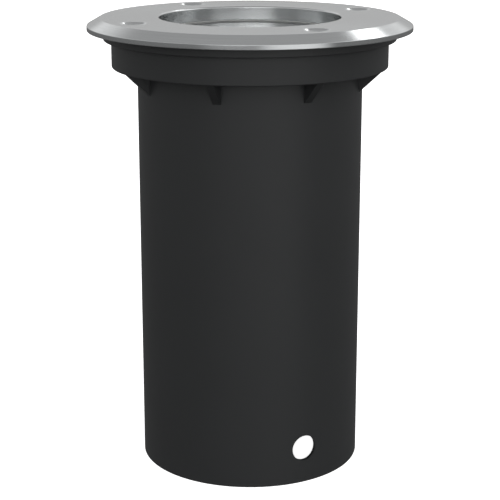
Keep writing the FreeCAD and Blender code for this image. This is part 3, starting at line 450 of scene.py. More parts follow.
def flat_ring(name, bore, radius, low, high, edges, steps, *place):
    """A ring of rectangular section, with its edges at the bore and at the rim rounded as given."""
    corners = [(bore, low, edges[0]), (radius, low, edges[1]),
               (radius, high, edges[1]), (bore, high, edges[0])]
    return turned(name, rounded(corners, steps), *place)


black_rubber = soft_rubber("black_rubber", (0.020, 0.020, 0.021), 0.74)
gasket = flat_ring("gasket", gasket_bore, high.x, low.z, high.z, (gasket_edge, gasket_edge), 3, 192)
finish_piece(gasket, "housing", black_rubber, "black_rubber", "flange_gasket")


# Lamp housing: the cast aluminium pot that hangs on the sleeve's ledge by its flange. Its rim holds the
# glass seal, an inner step carries the lamp's swivel ring, and three stands on its floor take the
# terminals.

low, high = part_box("lamp_housing")
recess_r = 66.8 * mm
rim_r = recess_r + 3.4 * mm
glass_seat = sleeve_top - 11.1 * mm
flange_foot = ledge + 1.5 * mm
flange_top = flange_foot + 4 * mm
mouth_r = 62.2 * mm
mouth_outer_r = mouth_r + 2.8 * mm
swivel_ledge = glass_seat - 30.5 * mm
step_foot = swivel_ledge - 1 * mm
pot_bore = 59 * mm
pot_outer_r = pot_bore + 2.5 * mm
pot_foot = low.z + 3 * mm
pot_floor = pot_foot + 3 * mm
gland_bore = 8.12 * mm
gland_pad_r = 14 * mm
stand_r = 4.5 * mm
stand_hole_r = 2.12 * mm
stand_foot = pot_floor - 1.5 * mm
stand_top = pot_floor + 5 * mm
stand_hole_foot = stand_top - 4.8 * mm
stand_spots = [(32 * mm, 0), (-32 * mm, 0), (0, -34 * mm)]
cast_round = 0.9 * mm
cast_edge = 0.6 * mm

cast_aluminium = surface("cast_aluminium", ((0.30, 0.305, 0.31, 1), (0.46, 0.465, 0.47, 1)), (70, 5), 150,
                         (0.48, 0.66), [(900, 3, 1), (220, 3, 0.7)], 0.35, 0.12 * mm, Metallic=0.85)
housing = turned("housing_pot", rounded([
    (gland_bore, low.z),
    (gland_pad_r, low.z, cast_round),
    (gland_pad_r, pot_foot, cast_round),
    (pot_outer_r, pot_foot, 6 * mm),
    (pot_outer_r, step_foot - (mouth_outer_r - pot_outer_r), cast_round),
    (mouth_outer_r, step_foot, cast_round),
    (mouth_outer_r, flange_foot, cast_round),
    (high.x, flange_foot, cast_edge),
    (high.x, flange_top, cast_round),
    (rim_r, flange_top, cast_round),
    (rim_r, high.z, cast_edge),
    (recess_r, high.z, cast_edge),
    (recess_r, glass_seat),
    (mouth_r, glass_seat, 0.5 * mm),
    (mouth_r, swivel_ledge),
    (pot_bore, swivel_ledge, 0.5 * mm),
    (pot_bore, pot_floor, 3.5 * mm),
    (gland_bore, pot_floor),
]), 192)
for spot in stand_spots:
    stand = turned("stand", rounded([
        (0, stand_foot),
        (stand_r, stand_foot),
        (stand_r, stand_top, 0.4 * mm),
        (stand_hole_r, stand_top, 0.2 * mm),
        (stand_hole_r, stand_hole_foot),
        (0, stand_hole_foot),
    ]), 47, spot)
    combine(housing, [stand], "UNION")
finish_piece(housing, "housing", cast_aluminium, "cast_aluminium", "lamp_housing")


# Gland body: a moulded plastic bush that goes up through the hole in the housing's floor. Its upper thread
# takes the locknut, its hexagon bears on the floor from below, and its lower thread takes the cap nut.

gland_low, gland_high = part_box("gland_body")
washer_low, washer_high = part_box("gland_washer")
gland_hex_r = gland_high.x
gland_hex_foot = washer_low.z - 5 * mm
gland_thread_r = 8 * mm
gland_tail_r = 8.8 * mm
gland_throat_r = 5.2 * mm
gland_middle_r = (gland_throat_r + gland_thread_r) / 2
gland_cup_r = 7 * mm
gland_cup_foot = gland_low.z + 6.5 * mm
gland_pitch = 1.5 * mm
gland_thread_depth = 0.5 * mm
thread_runout = 0.8 * mm
thread_bevel = 0.4 * mm
thread_points = 6
hex_chamfer = 0.9 * mm


def thread_wall(radius, pitch, low, high):
    """The points of a side at even heights, close enough together to carry a thread of this pitch."""
    count = math.ceil((high - low) / pitch * thread_points)
    return [(radius, low + (high - low) * step / count) for step in range(count + 1)]


def cut_thread(piece, depth, radius, pitch, low, high):
    """Cuts a helical thread into a side of the piece. On the core of a nut it leaves the nut's ridges."""
    for vertex in piece.data.vertices:
        spot = vertex.co
        if abs(spot.xy.length - radius) < near and low - near < spot.z < high + near:
            phase = (spot.z / pitch - math.atan2(spot.y, spot.x) / (2 * math.pi)) % 1
            groove = min(max(1.7 * abs(2 * phase - 1) - 0.35, 0), 1)
            fade = min(1, 2 * (spot.z - low) / pitch, 2 * (high - spot.z) / pitch)
            spot.xy *= 1 - depth * groove * max(fade, 0) / radius


def hexagon_bar(name, radius, low, high):
    """A solid hexagonal bar with its corners turned off at both ends."""
    bar = rod(name, radius, low - overrun, high + overrun, 6)
    flat = radius * math.cos(math.pi / 6) - 0.1 * mm
    ends = turned(name + "_ends", [
        (0, low),
        (flat, low),
        (radius + 0.1 * mm, low + hex_chamfer),
        (radius + 0.1 * mm, high - hex_chamfer),
        (flat, high),
        (0, high),
    ], 96)
    combine(bar, [ends], "INTERSECT")
    return bar


gland_plastic = moulded_plastic("black_plastic_gland", (0.026, 0.0265, 0.027), 0.38, grain=3200)
tail_thread = (gland_tail_r, gland_pitch, gland_low.z + thread_runout, gland_hex_foot - thread_runout)
top_thread = (gland_thread_r, gland_pitch, washer_low.z + thread_runout, gland_high.z - thread_runout)
gland = turned("gland_bush", [
    (gland_throat_r, gland_cup_foot),
    (gland_cup_r, gland_cup_foot),
    (gland_cup_r, gland_low.z),
    (gland_tail_r - thread_bevel, gland_low.z),
] + thread_wall(*tail_thread) + [
    (gland_tail_r, gland_hex_foot + 1 * mm),
    (gland_thread_r, gland_hex_foot + 1.8 * mm),
] + thread_wall(*top_thread) + [
    (gland_thread_r - thread_bevel, gland_high.z),
    (gland_throat_r, gland_high.z),
], 65)
cut_thread(gland, gland_thread_depth, *tail_thread)
cut_thread(gland, gland_thread_depth, *top_thread)
gland_hexagon = hexagon_bar("gland_hexagon", gland_hex_r, gland_hex_foot, washer_low.z)
gland_core = rod("gland_core", gland_middle_r, gland_hex_foot - overrun, washer_low.z + overrun, 64)
combine(gland_hexagon, [gland_core], "DIFFERENCE")
combine(gland, [gland_hexagon], "UNION")
finish_piece(gland, "housing", gland_plastic, "black_plastic_gland", "gland_body", crease=30)


# Gland washer: a thick flat washer of black rubber between the gland's hexagon and the machined pad under
# the housing's floor.

washer_bore = gland_thread_r + 0.3 * mm
gland_washer = flat_ring("gland_flat_washer", washer_bore, washer_high.x, washer_low.z, washer_high.z,
                         (gasket_edge, gasket_edge), 3, 96)
finish_piece(gland_washer, "housing", black_rubber, "black_rubber", "gland_washer")


# Gland locknut: a thin hexagonal nut of the same black plastic. It is screwed down on the gland's upper
# thread from inside the housing.

low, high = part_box("gland_locknut")
nut_play = 0.12 * mm
locknut_bore = gland_thread_r + nut_play
locknut_thread = (locknut_bore, gland_pitch, low.z, high.z)
locknut = hexagon_bar("locknut", gland_hex_r, low.z, high.z)
locknut_core = turned("locknut_core", [(0, low.z - overrun), (locknut_bore, low.z - overrun)]
                      + thread_wall(*locknut_thread)
                      + [(locknut_bore, high.z + overrun), (0, high.z + overrun)], 64)
cut_thread(locknut_core, gland_thread_depth, *locknut_thread)
combine(locknut, [locknut_core], "DIFFERENCE")
finish_piece(locknut, "housing", gland_plastic, "black_plastic_gland", "gland_locknut", crease=30)


# Gland seal: a soft sleeve of moulded black rubber that stands in the gland's cup. When the cap nut is done
# up, it presses the seal round the cable.

seal_low, seal_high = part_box("gland_seal")
cable_r = 4 * mm
gland_seal_edge = 0.7 * mm
gland_seal = flat_ring("gland_grip", cable_r, seal_high.x, seal_low.z, seal_high.z,
                       (gland_seal_edge, gland_seal_edge), 4, 96)
finish_piece(gland_seal, "housing", black_rubber, "black_rubber", "gland_seal")


# Gland cap nut: a domed hexagonal nut of black plastic on the gland's lower thread. Its mouth lets the
# cable through, and its inner step pushes the seal up into the cup.

low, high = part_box("gland_nut")
cap_flat_r = high.x * math.cos(math.pi / 6) - 0.1 * mm
cap_dome_r = 8.5 * mm
cap_dome_top = low.z + 4.5 * mm
cap_dome_head = high.z - 2 * mm
cap_well_r = gland_cup_r + 0.3 * mm
cap_bore = gland_tail_r + nut_play
cap_mouth_bevel = 0.5 * mm
cap_thread = (cap_bore, gland_pitch, gland_low.z + thread_runout, high.z)
cap = hexagon_bar("cap_nut", high.x, cap_dome_top, high.z)
cap_dome = turned("cap_dome", rounded([
    (0, low.z),
    (cap_dome_r, low.z, 1.4 * mm),
    (cap_flat_r, cap_dome_top, 4 * mm),
    (cap_flat_r, cap_dome_head),
    (0, cap_dome_head),
]), 96)
cap_core = turned("cap_core", [
    (0, low.z - overrun),
    (gland_throat_r + cap_mouth_bevel, low.z - overrun),
    (gland_throat_r + cap_mouth_bevel, low.z),
    (gland_throat_r, low.z + cap_mouth_bevel),
    (gland_throat_r, seal_low.z),
    (cap_well_r, seal_low.z),
    (cap_well_r, gland_low.z),
    (cap_bore, gland_low.z),
] + thread_wall(*cap_thread) + [
    (cap_bore, high.z + overrun),
    (0, high.z + overrun),
], 64)
cut_thread(cap_core, gland_thread_depth, *cap_thread)
combine(cap, [cap_dome], "UNION")
combine(cap, [cap_core], "DIFFERENCE")
finish_piece(cap, "housing", gland_plastic, "black_plastic_gland", "gland_nut", crease=30)


# Terminal plate: a rectangle of zinc-plated steel with rounded corners, punched for the gland, its two
# screws and the block's screw. It rests on the housing's stands.


def dress(node, material):
    """Gives a CAD node that stays as it is its finished material."""
    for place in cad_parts[node].material_slots:
        place.material = material


zinc_steel = machined_metal("zinc_steel", (0.60, 0.61, 0.63), 0.36, scratch=500)
dress("terminal_plate", zinc_steel)


# Plate screws: two cross-head machine screws of zinc-plated steel that hold the plate down on two of the
# stands.

low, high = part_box("plate_screws")
small_screw_r = 2 * mm
small_head_r = 3.6 * mm
small_head_thick = 2.4 * mm
small_pitch = 0.7 * mm
small_thread_depth = 0.3 * mm
head_dome = 0.45
slot_reach = 0.62
slot_width = 0.24
slot_depth = 0.55


def slot_bar(half, top, sunk, wide):
    """A bar across the axis that cuts a screwdriver's slot."""
    return flat_bar("slot", [(-half, top + overrun), (half, top + overrun), (half, top - sunk),
                             (-half, top - sunk)], wide)


def machine_screw(name, radius, head, foot, seat, top, crossed=True):
    """A pan-head screw about Z with a rolled thread and a cross or a single slot."""
    thread = (radius, small_pitch * radius / small_screw_r, foot + thread_bevel, seat - fine_edge)
    thick = top - seat
    crown = rounded([(radius, seat), (head, seat), (head, top, thick * head_dome), (0, top)], 5)
    piece = turned(name, [(0, foot), (radius - thread_bevel, foot)] + thread_wall(*thread) + crown, 40)
    cut_thread(piece, small_thread_depth * radius / small_screw_r, *thread)
    slots = [slot_bar(head * slot_reach, top, thick * slot_depth, head * slot_width)
             for slot in range(1 + crossed)]
    shift(slots[-1], quarter_turn if crossed else 0)
    combine(piece, slots, "DIFFERENCE")
    return piece


plate_screw = machine_screw("plate_screw", small_screw_r, small_head_r, low.z,
                            high.z - small_head_thick, high.z)
plate_screws = repeat_round("plate_screw_pair", plate_screw, 2, stand_spots[0][0], zinc_steel)
finish_piece(plate_screws, "housing", zinc_steel, "zinc_steel", "plate_screws", crease=28)


# Terminal block: a three-pole strip moulded in white plastic, stepped at its sides. Each pole has a tunnel
# for its brass tube and two wells for the clamp screws.

low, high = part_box("terminal_block")
block_middle = (low + high) / 2
white_plastic = moulded_plastic("white_plastic", (0.72, 0.72, 0.69), 0.42)
dress("terminal_block", white_plastic)


# Terminal tubes: three short brass tubes, cut from bar and pushed into the block's tunnels. Each is
# cross-drilled for its two clamp screws.

dress("terminal_tubes", brass)


# Clamp screws: six slotted grub screws of zinc-plated steel, two to each pole, which press the leads down
# in the tubes.

low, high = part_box("terminal_screws")
clamp_r = 1.4 * mm
clamp_thread = (clamp_r, 0.5 * mm, low.z + 0.3 * mm, high.z - 0.2 * mm)
pole_pitch = 12 * mm
clamp_pitch = 2 * 3.4 * mm


def in_rows(tree, given):
    """Points in even rows and columns about the origin."""
    grid = add_node(tree, "GeometryNodeMeshGrid", Vertices_X=given["Columns"], Vertices_Y=given["Rows"],
                    Size_X=given["Width"], Size_Y=given["Depth"])
    return {"Points": grid.outputs["Mesh"]}


clamp_screw = turned("clamp_screw", [(0, low.z), (clamp_r - 0.3 * mm, low.z)] + thread_wall(*clamp_thread)
                     + [(clamp_r - 0.15 * mm, high.z), (0, high.z)], 24)
cut_thread(clamp_screw, 0.2 * mm, *clamp_thread)
combine(clamp_screw, [slot_bar(clamp_r + overrun, high.z, 0.9 * mm, 0.5 * mm)], "DIFFERENCE")
even_rows = copies_tree("even_rows", {"Columns": "Int", "Rows": "Int", "Width": "Float", "Depth": "Float"},
                        in_rows)
clamp_rows = set_copies("clamp_screw_rows", even_rows, Piece=clamp_screw, Columns=3, Rows=2,
                        Width=2 * pole_pitch, Depth=clamp_pitch, Material=zinc_steel)
shift(clamp_rows, by=(block_middle.x, block_middle.y, 0))
finish_piece(clamp_rows, "housing", zinc_steel, "zinc_steel", "terminal_screws", crease=28)


# Block screw: one slotted screw of zinc-plated steel that goes down through the block between two poles
# into the plate.

low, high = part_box("block_screw")
block_screw = machine_screw("block_fixing", 1.5 * mm, 2.8 * mm, low.z, high.z - 1.8 * mm, high.z, False)
block_screw_spot = (low + high) / 2
shift(block_screw, by=(block_screw_spot.x, block_screw_spot.y, 0))
finish_piece(block_screw, "housing", zinc_steel, "zinc_steel", "block_screw", crease=28)


# Earth point: a cross-head screw with a washer under its head, in the third stand. The bare casting there
# carries the earth lead's eye.

low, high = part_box("earth_screw")
earth_spot = Vector((*stand_spots[2], 0))
earth_screw = machine_screw("earth_fixing", small_screw_r, small_head_r, low.z,
                            high.z - small_head_thick, high.z)
shift(earth_screw, by=earth_spot)
finish_piece(earth_screw, "housing", zinc_steel, "zinc_steel", "earth_screw", crease=28)
low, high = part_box("earth_washer")
earth_washer_bore = small_screw_r + 0.3 * mm
earth_washer = turned("earth_flat_washer", rounded([
    (earth_washer_bore, low.z),
    (high.x, low.z, 0.2 * mm),
    (high.x, high.z, fine_edge),
    (earth_washer_bore, high.z, 0.15 * mm),
], 3), 64, earth_spot)
finish_piece(earth_washer, "housing", zinc_steel, "zinc_steel", "earth_washer", crease=28)


# Swivel ring: a steel ring that turns freely on the housing's inner ledge. Its foot is flanged inwards, and
# two holes on the tilt axis carry the studs.

low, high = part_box("swivel_ring")
stud_low, stud_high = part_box("pivot_studs")
swivel_r = high.x
swivel_wall = 1.6 * mm
swivel_bore = swivel_r - swivel_wall
swivel_foot_bore = 59.2 * mm
swivel_foot = low.z + 0.03 * mm
pivot_level = (stud_low.z + stud_high.z) / 2
stud_r = 2 * mm
stud_fit = stud_r + 0.05 * mm
tilt_fit = stud_r + 0.08 * mm
stud_reach_in = 56.1 * mm
swivel = turned("swivel_band", rounded([
    (swivel_foot_bore, swivel_foot, fine_edge),
    (swivel_r, swivel_foot, 0.9 * mm),
    (swivel_r, high.z, fine_edge),
    (swivel_bore, high.z, fine_edge),
    (swivel_bore, low.z + swivel_wall, 0.6 * mm),
    (swivel_foot_bore, low.z + swivel_wall, fine_edge),
], 4), 192)
on_pivot = (48, (0, pivot_level), False)
stud_hole = rod("stud_hole", stud_fit, -swivel_r - overrun, swivel_r + overrun, *on_pivot)
combine(swivel, [stud_hole], "DIFFERENCE")
finish_piece(swivel, "swivel", zinc_steel, "zinc_steel", "swivel_ring")


# Pivot studs: two turned pins with rounded ends, pressed through the swivel ring. The cradle tilts on their
# inner ends.

screw_steel = machined_metal("screw_steel", (0.62, 0.63, 0.64), 0.24)
stud = button("pivot_stud", stud_r, stud_reach_in, stud_high.x, (0.6 * mm, fine_edge), 5, *on_pivot)
studs = repeat_round("pivot_stud_pair", stud, 2, 0, screw_steel)
finish_piece(studs, "swivel", screw_steel, "screw_steel", "pivot_studs")


# Pivot spacers: two slippery white plastic bushes on the studs, which keep the cradle in the middle of the
# swivel ring and hold its angle by friction.

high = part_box("pivot_spacers")[1]
spacer_inner_x = 57.78 * mm
spacer = flat_ring("pivot_spacer", stud_fit, high.z - pivot_level, spacer_inner_x, high.x,
                   (0.2 * mm, fine_edge), 3, 64, (0, pivot_level), False)
spacers = repeat_round("pivot_spacer_pair", spacer, 2, 0, white_plastic)
finish_piece(spacers, "swivel", white_plastic, "white_plastic", "pivot_spacers")


# Tilt cradle: a steel cup ring, spun from sheet. The lamp's rim stands on its inner lip, and it has holes
# for the studs and for the rivets of the holder's strap.

low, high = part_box("tilt_cradle")
cradle_r = high.y
cradle_bore = cradle_r - 1.8 * mm
cradle_lip_r = 52 * mm
cradle_lip_top = low.z + 1.6 * mm
rivet_reach = 55.232 * mm
rivet_r = 1.2 * mm
rivet_hole_r = rivet_r + 0.05 * mm
cradle = turned("cradle_cup", rounded([
    (cradle_lip_r, low.z, fine_edge),
    (cradle_r, low.z, 1.1 * mm),
    (cradle_r, high.z, fine_edge),
    (cradle_bore, high.z, fine_edge),
    (cradle_bore, cradle_lip_top, 0.6 * mm),
    (cradle_lip_r, cradle_lip_top, fine_edge),
], 4), 192)
tilt_hole = rod("tilt_hole", tilt_fit, -cradle_r - overrun, cradle_r + overrun, *on_pivot)
combine(cradle, [tilt_hole], "DIFFERENCE")
for reach in (-rivet_reach, rivet_reach):
    rivet_hole = rod("rivet_hole", rivet_hole_r, low.z - overrun, cradle_lip_top + overrun, 30, (0, reach))
    combine(cradle, [rivet_hole], "DIFFERENCE")
finish_piece(cradle, "cradle", zinc_steel, "zinc_steel", "tilt_cradle")


# Lamp reflector: a pressed glass bowl with a rolled rim. Its inside is silvered and divided into flat
# facets, which spread the beam evenly.

low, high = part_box("lamp_reflector")
front_low, front_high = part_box("lamp_front_glass")
front_glass_r = front_high.x
front_seat_r = front_glass_r + 0.05 * mm
bowl_wall = 1.5 * mm
bowl_r = 51 * mm
bowl_inner_r = bowl_r - bowl_wall
bowl_rim = cradle_lip_top + bowl_wall
bowl_middle = (cradle_lip_top - low.z) / 2
bowl_bend = 22 * mm
neck_bend = 16 * mm
neck_r = 19.5 * mm
capsule_hole_r = 8 * mm
facet_count = 48
facet_rings = 3
facet_turn = 2 * math.pi / facet_count


def bowl_across(share, mouth):
    """A corner of the bowl's outline, as a share of the way from its neck to its mouth."""
    return neck_r + share * (mouth - neck_r)


def inlay(piece, material, faces):
    """Gives the chosen faces of a finished piece a second finish."""
    piece.data.materials.append(material)
    for index in faces:
        piece.data.polygons[index].material_index = len(piece.data.materials) - 1


silvered_glass = surface("reflector_silvered", ((0.80, 0.81, 0.82, 1), (0.90, 0.90, 0.90, 1)), (120,), 200,
                         (0.06, 0.14), [(420, 3, 1)], 0.08, 0.05 * mm, Metallic=1)
reflector_coat = machined_metal("reflector_coat", (0.42, 0.43, 0.45), 0.34, scratch=700, metallic=0.6)
reflector = turned("reflector_bowl", rounded([
    (capsule_hole_r, low.z),
    (bowl_across(0.42, bowl_r), low.z, neck_bend),
    (bowl_across(0.84, bowl_r), cradle_lip_top - bowl_middle, bowl_bend),
    (bowl_r, cradle_lip_top),
    (high.x, cradle_lip_top, 0.5 * mm),
    (high.x, high.z, 0.5 * mm),
    (front_seat_r, high.z, fine_edge),
    (front_seat_r, front_low.z),
    (bowl_inner_r, front_low.z),
    (bowl_inner_r, bowl_rim),
    (bowl_across(0.84, bowl_inner_r), bowl_rim - bowl_middle, bowl_bend - bowl_wall),
    (bowl_across(0.42, bowl_inner_r), low.z + bowl_wall, neck_bend - bowl_wall),
    (capsule_hole_r, low.z + bowl_wall),
]), facet_count * facet_rings)
silvered_points = set()
for face in reflector.data.polygons:
    middle = face.center
    inside = face.normal.z > 0.02 or face.normal.xy.dot(middle.xy) < 0
    if inside and middle.xy.length < bowl_inner_r + 0.1 * mm and middle.z < front_low.z - near:
        silvered_points.update(face.vertices)
for index in silvered_points:
    spot = reflector.data.vertices[index].co
    if spot.xy.length > capsule_hole_r + 0.5 * mm and spot.z < bowl_rim + 0.1 * mm:
        turned_by = (math.atan2(spot.y, spot.x) + math.pi) % facet_turn - facet_turn / 2
        spot.xy *= math.cos(facet_turn / 2) / math.cos(turned_by)
finish_piece(reflector, "cradle", reflector_coat, "reflector_glass", "lamp_reflector", crease=4)
inlay(reflector, silvered_glass, [
    face.index for face in reflector.data.polygons if silvered_points.issuperset(face.vertices)
])


# Lamp base: the ceramic neck that is cemented to the reflector. It is pressed and fired in one piece, and
# stepped down to the cap with the pins.

low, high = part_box("lamp_base")
base_cap_r = 12.5 * mm
base_shoulder_r = 16.5 * mm
ceramic_round = 0.8 * mm
lamp_ceramic = moulded_plastic("lamp_ceramic", (0.74, 0.71, 0.64), 0.5, grain=1300)
lamp_base = turned("ceramic_neck", rounded([
    (0, low.z),
    (base_cap_r, low.z, ceramic_round),
    (base_cap_r, low.z + 12 * mm, 1.5 * mm),
    (base_shoulder_r, low.z + 20 * mm, 2 * mm),
    (high.x, high.z, fine_edge),
    (0, high.z),
], 5), 128)
finish_piece(lamp_base, "cradle", lamp_ceramic, "lamp_ceramic", "lamp_base")


# Lamp pins: two turned steel pins with wide heads, which stand out under the cap. They lock in the holder
# with a quarter turn and carry the current.

low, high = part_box("lamp_pins")
pin_reach = 5 * mm
pin_r = 1.5 * mm
pin_head_r = 2.5 * mm
pin_head_top = low.z + 2.5 * mm
pin = turned("lamp_pin", rounded([
    (0, low.z),
    (pin_head_r, low.z, 0.5 * mm),
    (pin_head_r, pin_head_top, fine_edge),
    (pin_r, pin_head_top, 0.2 * mm),
    (pin_r, high.z),
    (0, high.z),
], 4), 40)
pins = repeat_round("lamp_pin_pair", pin, 2, pin_reach, screw_steel)
finish_piece(pins, "cradle", screw_steel, "screw_steel", "lamp_pins")


# Lamp capsule: the burner's glass envelope, a closed tube with a rounded top that stands in the middle of
# the reflector.

low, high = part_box("lamp_capsule")


def clear_glass(name, colour, index, roughness=0.0):
    """Polished clear glass."""
    material, tree, shader = new_material(name)
    plug(tree, shader, Base_Color=colour, Transmission_Weight=1, IOR=index,
         Roughness=spread(tree, noise(tree, 35), roughness, roughness + 0.025))
    return material


lamp_glass = clear_glass("lamp_glass", (0.95, 0.96, 0.96, 1), 1.47)
capsule = button("lamp_burner", high.x, low.z, high.z, (0, 5 * mm), 8, 64)
finish_piece(capsule, "cradle", lamp_glass, "lamp_glass", "lamp_capsule")


# Lamp front glass: a thin clear disc with softened edges. It is cemented into the reflector's rim and
# closes the lamp.

front_glass = button("lamp_window", front_glass_r, front_low.z, front_high.z,
                     (fine_edge, fine_edge), 3, 192)
finish_piece(front_glass, "cradle", lamp_glass, "lamp_glass", "lamp_front_glass")
front_glass.visible_shadow = False


# Lamp clip: an open ring of sprung steel wire. It snaps into the cradle over the lamp's rim and comes out
# with a pull at its ends.

dress("lamp_clip", screw_steel)


# Lampholder: a round block of white ceramic with two wells for the lamp's pins. Two tapped holes underneath
# take the screws of its strap.

low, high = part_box("lampholder")
contact_low, contact_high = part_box("holder_contacts")
well_r = pin_head_r + 0.4 * mm
holder_screw_r = 1.25 * mm
holder_screw_reach = 9 * mm
tapped_top = low.z + 7.3 * mm
holder = button("ceramic_holder", high.x, low.z, high.z, (ceramic_round, 1.5 * mm), 6, 128)
well = rod("pin_well", well_r, high.z + overrun, contact_low.z, 48)
wells = repeat_round("pin_wells", well, 2, pin_reach, lamp_ceramic)
tapped_hole = rod("tapped_hole", holder_screw_r + nut_play, low.z - overrun, tapped_top, 32)
tapped_holes = repeat_round("tapped_holes", tapped_hole, 2, holder_screw_reach, lamp_ceramic)
shift(tapped_holes, quarter_turn)
combine(holder, [wells, tapped_holes], "DIFFERENCE")
finish_piece(holder, "cradle", lamp_ceramic, "lamp_ceramic", "lampholder")


# Holder contacts: two round brass contacts with a softened upper edge, pressed in at the bottom of the
# wells. The lamp's pins bear on them.

contact = button("contact", pin_head_r, contact_low.z, contact_high.z, (0, 0.4 * mm), 4, 48)
contacts = repeat_round("contact_pair", contact, 2, pin_reach, brass)
finish_piece(contacts, "cradle", brass, "brass", "holder_contacts")


# Holder bracket: a bent strap of zinc-plated steel that hangs the holder under the lamp. Its two feet are
# riveted to the cradle's lip.

dress("holder_bracket", zinc_steel)


# Holder screws: two small cross-head machine screws of zinc-plated steel. They come up through the strap
# into the holder's tapped holes.

low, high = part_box("holder_screws")
holder_screw = machine_screw("holder_screw", holder_screw_r, 2.4 * mm, -high.z, -low.z - 1.6 * mm, -low.z)
shift(holder_screw, math.pi, "X")
holder_screws = repeat_round("holder_screw_pair", holder_screw, 2, holder_screw_reach, zinc_steel)
shift(holder_screws, quarter_turn)
finish_piece(holder_screws, "cradle", zinc_steel, "zinc_steel", "holder_screws", crease=28)


# Bracket rivets: two steel rivets with domed heads under the strap's feet, closed flush in the cradle's
# lip.

low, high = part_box("bracket_rivets")
rivet_head_r = 1.9 * mm
rivet_head_top = low.z + 0.9 * mm
rivet = turned("bracket_rivet", rounded([
    (0, low.z),
    (rivet_head_r, low.z, 0.8 * mm),
    (rivet_head_r, rivet_head_top),
    (rivet_r, rivet_head_top),
    (rivet_r, high.z),
    (0, high.z),
], 5), 40)
rivets = repeat_round("bracket_rivet_pair", rivet, 2, rivet_reach, screw_steel)
shift(rivets, quarter_turn)
finish_piece(rivets, "cradle", screw_steel, "screw_steel", "bracket_rivets")


# Glass seal: a grey silicone ring of U section that is stretched over the edge of the cover glass. It fills
# the housing's recess, and its upper lip is pressed by the ring's skirt.

low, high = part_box("glass_seal")
glass_low, glass_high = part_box("cover_glass")
glass_r = glass_high.x
seal_foot_bore = 62.5 * mm
seal_lip_bore = 56.1 * mm
seal_groove_r = glass_r + 0.05 * mm
seal_edge = 0.25 * mm
seal_rubber = soft_rubber("seal_rubber", (0.55, 0.555, 0.55), 0.5)
glass_seal = turned("glass_edge_seal", rounded([
    (seal_foot_bore, low.z, seal_edge),
    (high.x, low.z, seal_edge),
    (high.x, high.z, seal_edge),
    (seal_lip_bore, high.z, seal_edge),
    (seal_lip_bore, glass_high.z, seal_edge),
    (seal_groove_r, glass_high.z),
    (seal_groove_r, glass_low.z),
    (seal_foot_bore, glass_low.z, seal_edge),
], 3), 192)
finish_piece(glass_seal, "cover", seal_rubber, "seal_rubber", "glass_seal")


# Cover glass: a thick toughened disc with a ground and slightly bevelled edge. The faces are clear and
# polished, and only the edge is matt.

glass_bevel = 0.8 * mm
glass_face_r = glass_r - glass_bevel
glass_edge = 0.2 * mm
cover_clear = clear_glass("cover_glass_clear", (0.90, 0.945, 0.93, 1), 1.52)
cover_ground = clear_glass("cover_glass_ground", (0.82, 0.90, 0.87, 1), 1.52, roughness=0.45)
glass = turned("glass_disc", rounded([
    (0, glass_low.z),
    (glass_face_r, glass_low.z, glass_edge),
    (glass_r, glass_low.z + glass_bevel, glass_edge),
    (glass_r, glass_high.z - glass_bevel, glass_edge),
    (glass_face_r, glass_high.z, glass_edge),
    (0, glass_high.z),
], 3))
finish_piece(glass, "cover", cover_clear, "clear_glass", "cover_glass", crease=30)
inlay(glass, cover_ground, [
    face.index for face in glass.data.polygons if face.center.xy.length > glass_face_r
])
glass.visible_shadow = False


# Cover ring: turned from thick stainless plate. Its top and bevelled rim are brushed in circles about the
# axis, its opening is bored, and four shallow dishes are sunk into the top for the screws.

low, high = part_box("cover_ring")
ring_top = high.z
ring_r = high.x
ring_flat_r = ring_r - 8 * mm
ring_rim_top = sleeve_top + 3 * mm
ring_land_r = 86 * mm
ring_under = ring_top - 4 * mm
ring_edge = 0.5 * mm
opening_r = 55.8 * mm
skirt_outer_r = opening_r + 4.7 * mm
ring_boss_r = 9.5 * mm
dish_r = 8.2 * mm
dish_floor_r = 6.2 * mm
dish_floor = ring_top - 1.4 * mm
head_r = 4.7 * mm
head_land = 0.3 * mm
head_hole_r = head_r + 0.06 * mm
head_seat = dish_floor - head_land
ring_hole_r = 2.7 * mm


def brushed_steel(name, colour, roughness):
    """Stainless steel brushed in circles about Z: its lines keep to one radius and height."""
    material, tree, shader = new_material(name)
    place = add_node(tree, "ShaderNodeTexCoord").outputs["Object"]
    x, y, z = add_node(tree, "ShaderNodeSeparateXYZ", place).outputs
    flat = add_node(tree, "ShaderNodeCombineXYZ", x, y).outputs["Vector"]
    reach = add_node(tree, "ShaderNodeVectorMath", flat, operation="LENGTH").outputs["Value"]
    slow_turn = maths(tree, "MULTIPLY", maths(tree, "ARCTAN2", y, x), 0.0012)
    lane = add_node(tree, "ShaderNodeCombineXYZ", reach, z, slow_turn).outputs["Vector"]
    lines = [add_node(tree, "ShaderNodeTexNoise", Vector=lane, Scale=scale, Detail=detail, Roughness=0.7)
             for scale, detail in ((1400, 4), (280, 3))]
    fine, broad = [line.outputs["Fac"] for line in lines]
    along = add_node(tree, "ShaderNodeTangent", direction_type="RADIAL", axis="Z").outputs["Tangent"]
    plug(tree, shader, Metallic=1, Anisotropic=0.8, Anisotropic_Rotation=0.25, Tangent=along,
         Base_Color=blend(tree, fine, shade(colour, 0.86), shade(colour, 1.08)),
         Roughness=spread(tree, broad, roughness - 0.04, roughness + 0.04),
         **relief(tree, [(fine, 1), (broad, 0.5)], 0.04, 0.03 * mm))
    return material


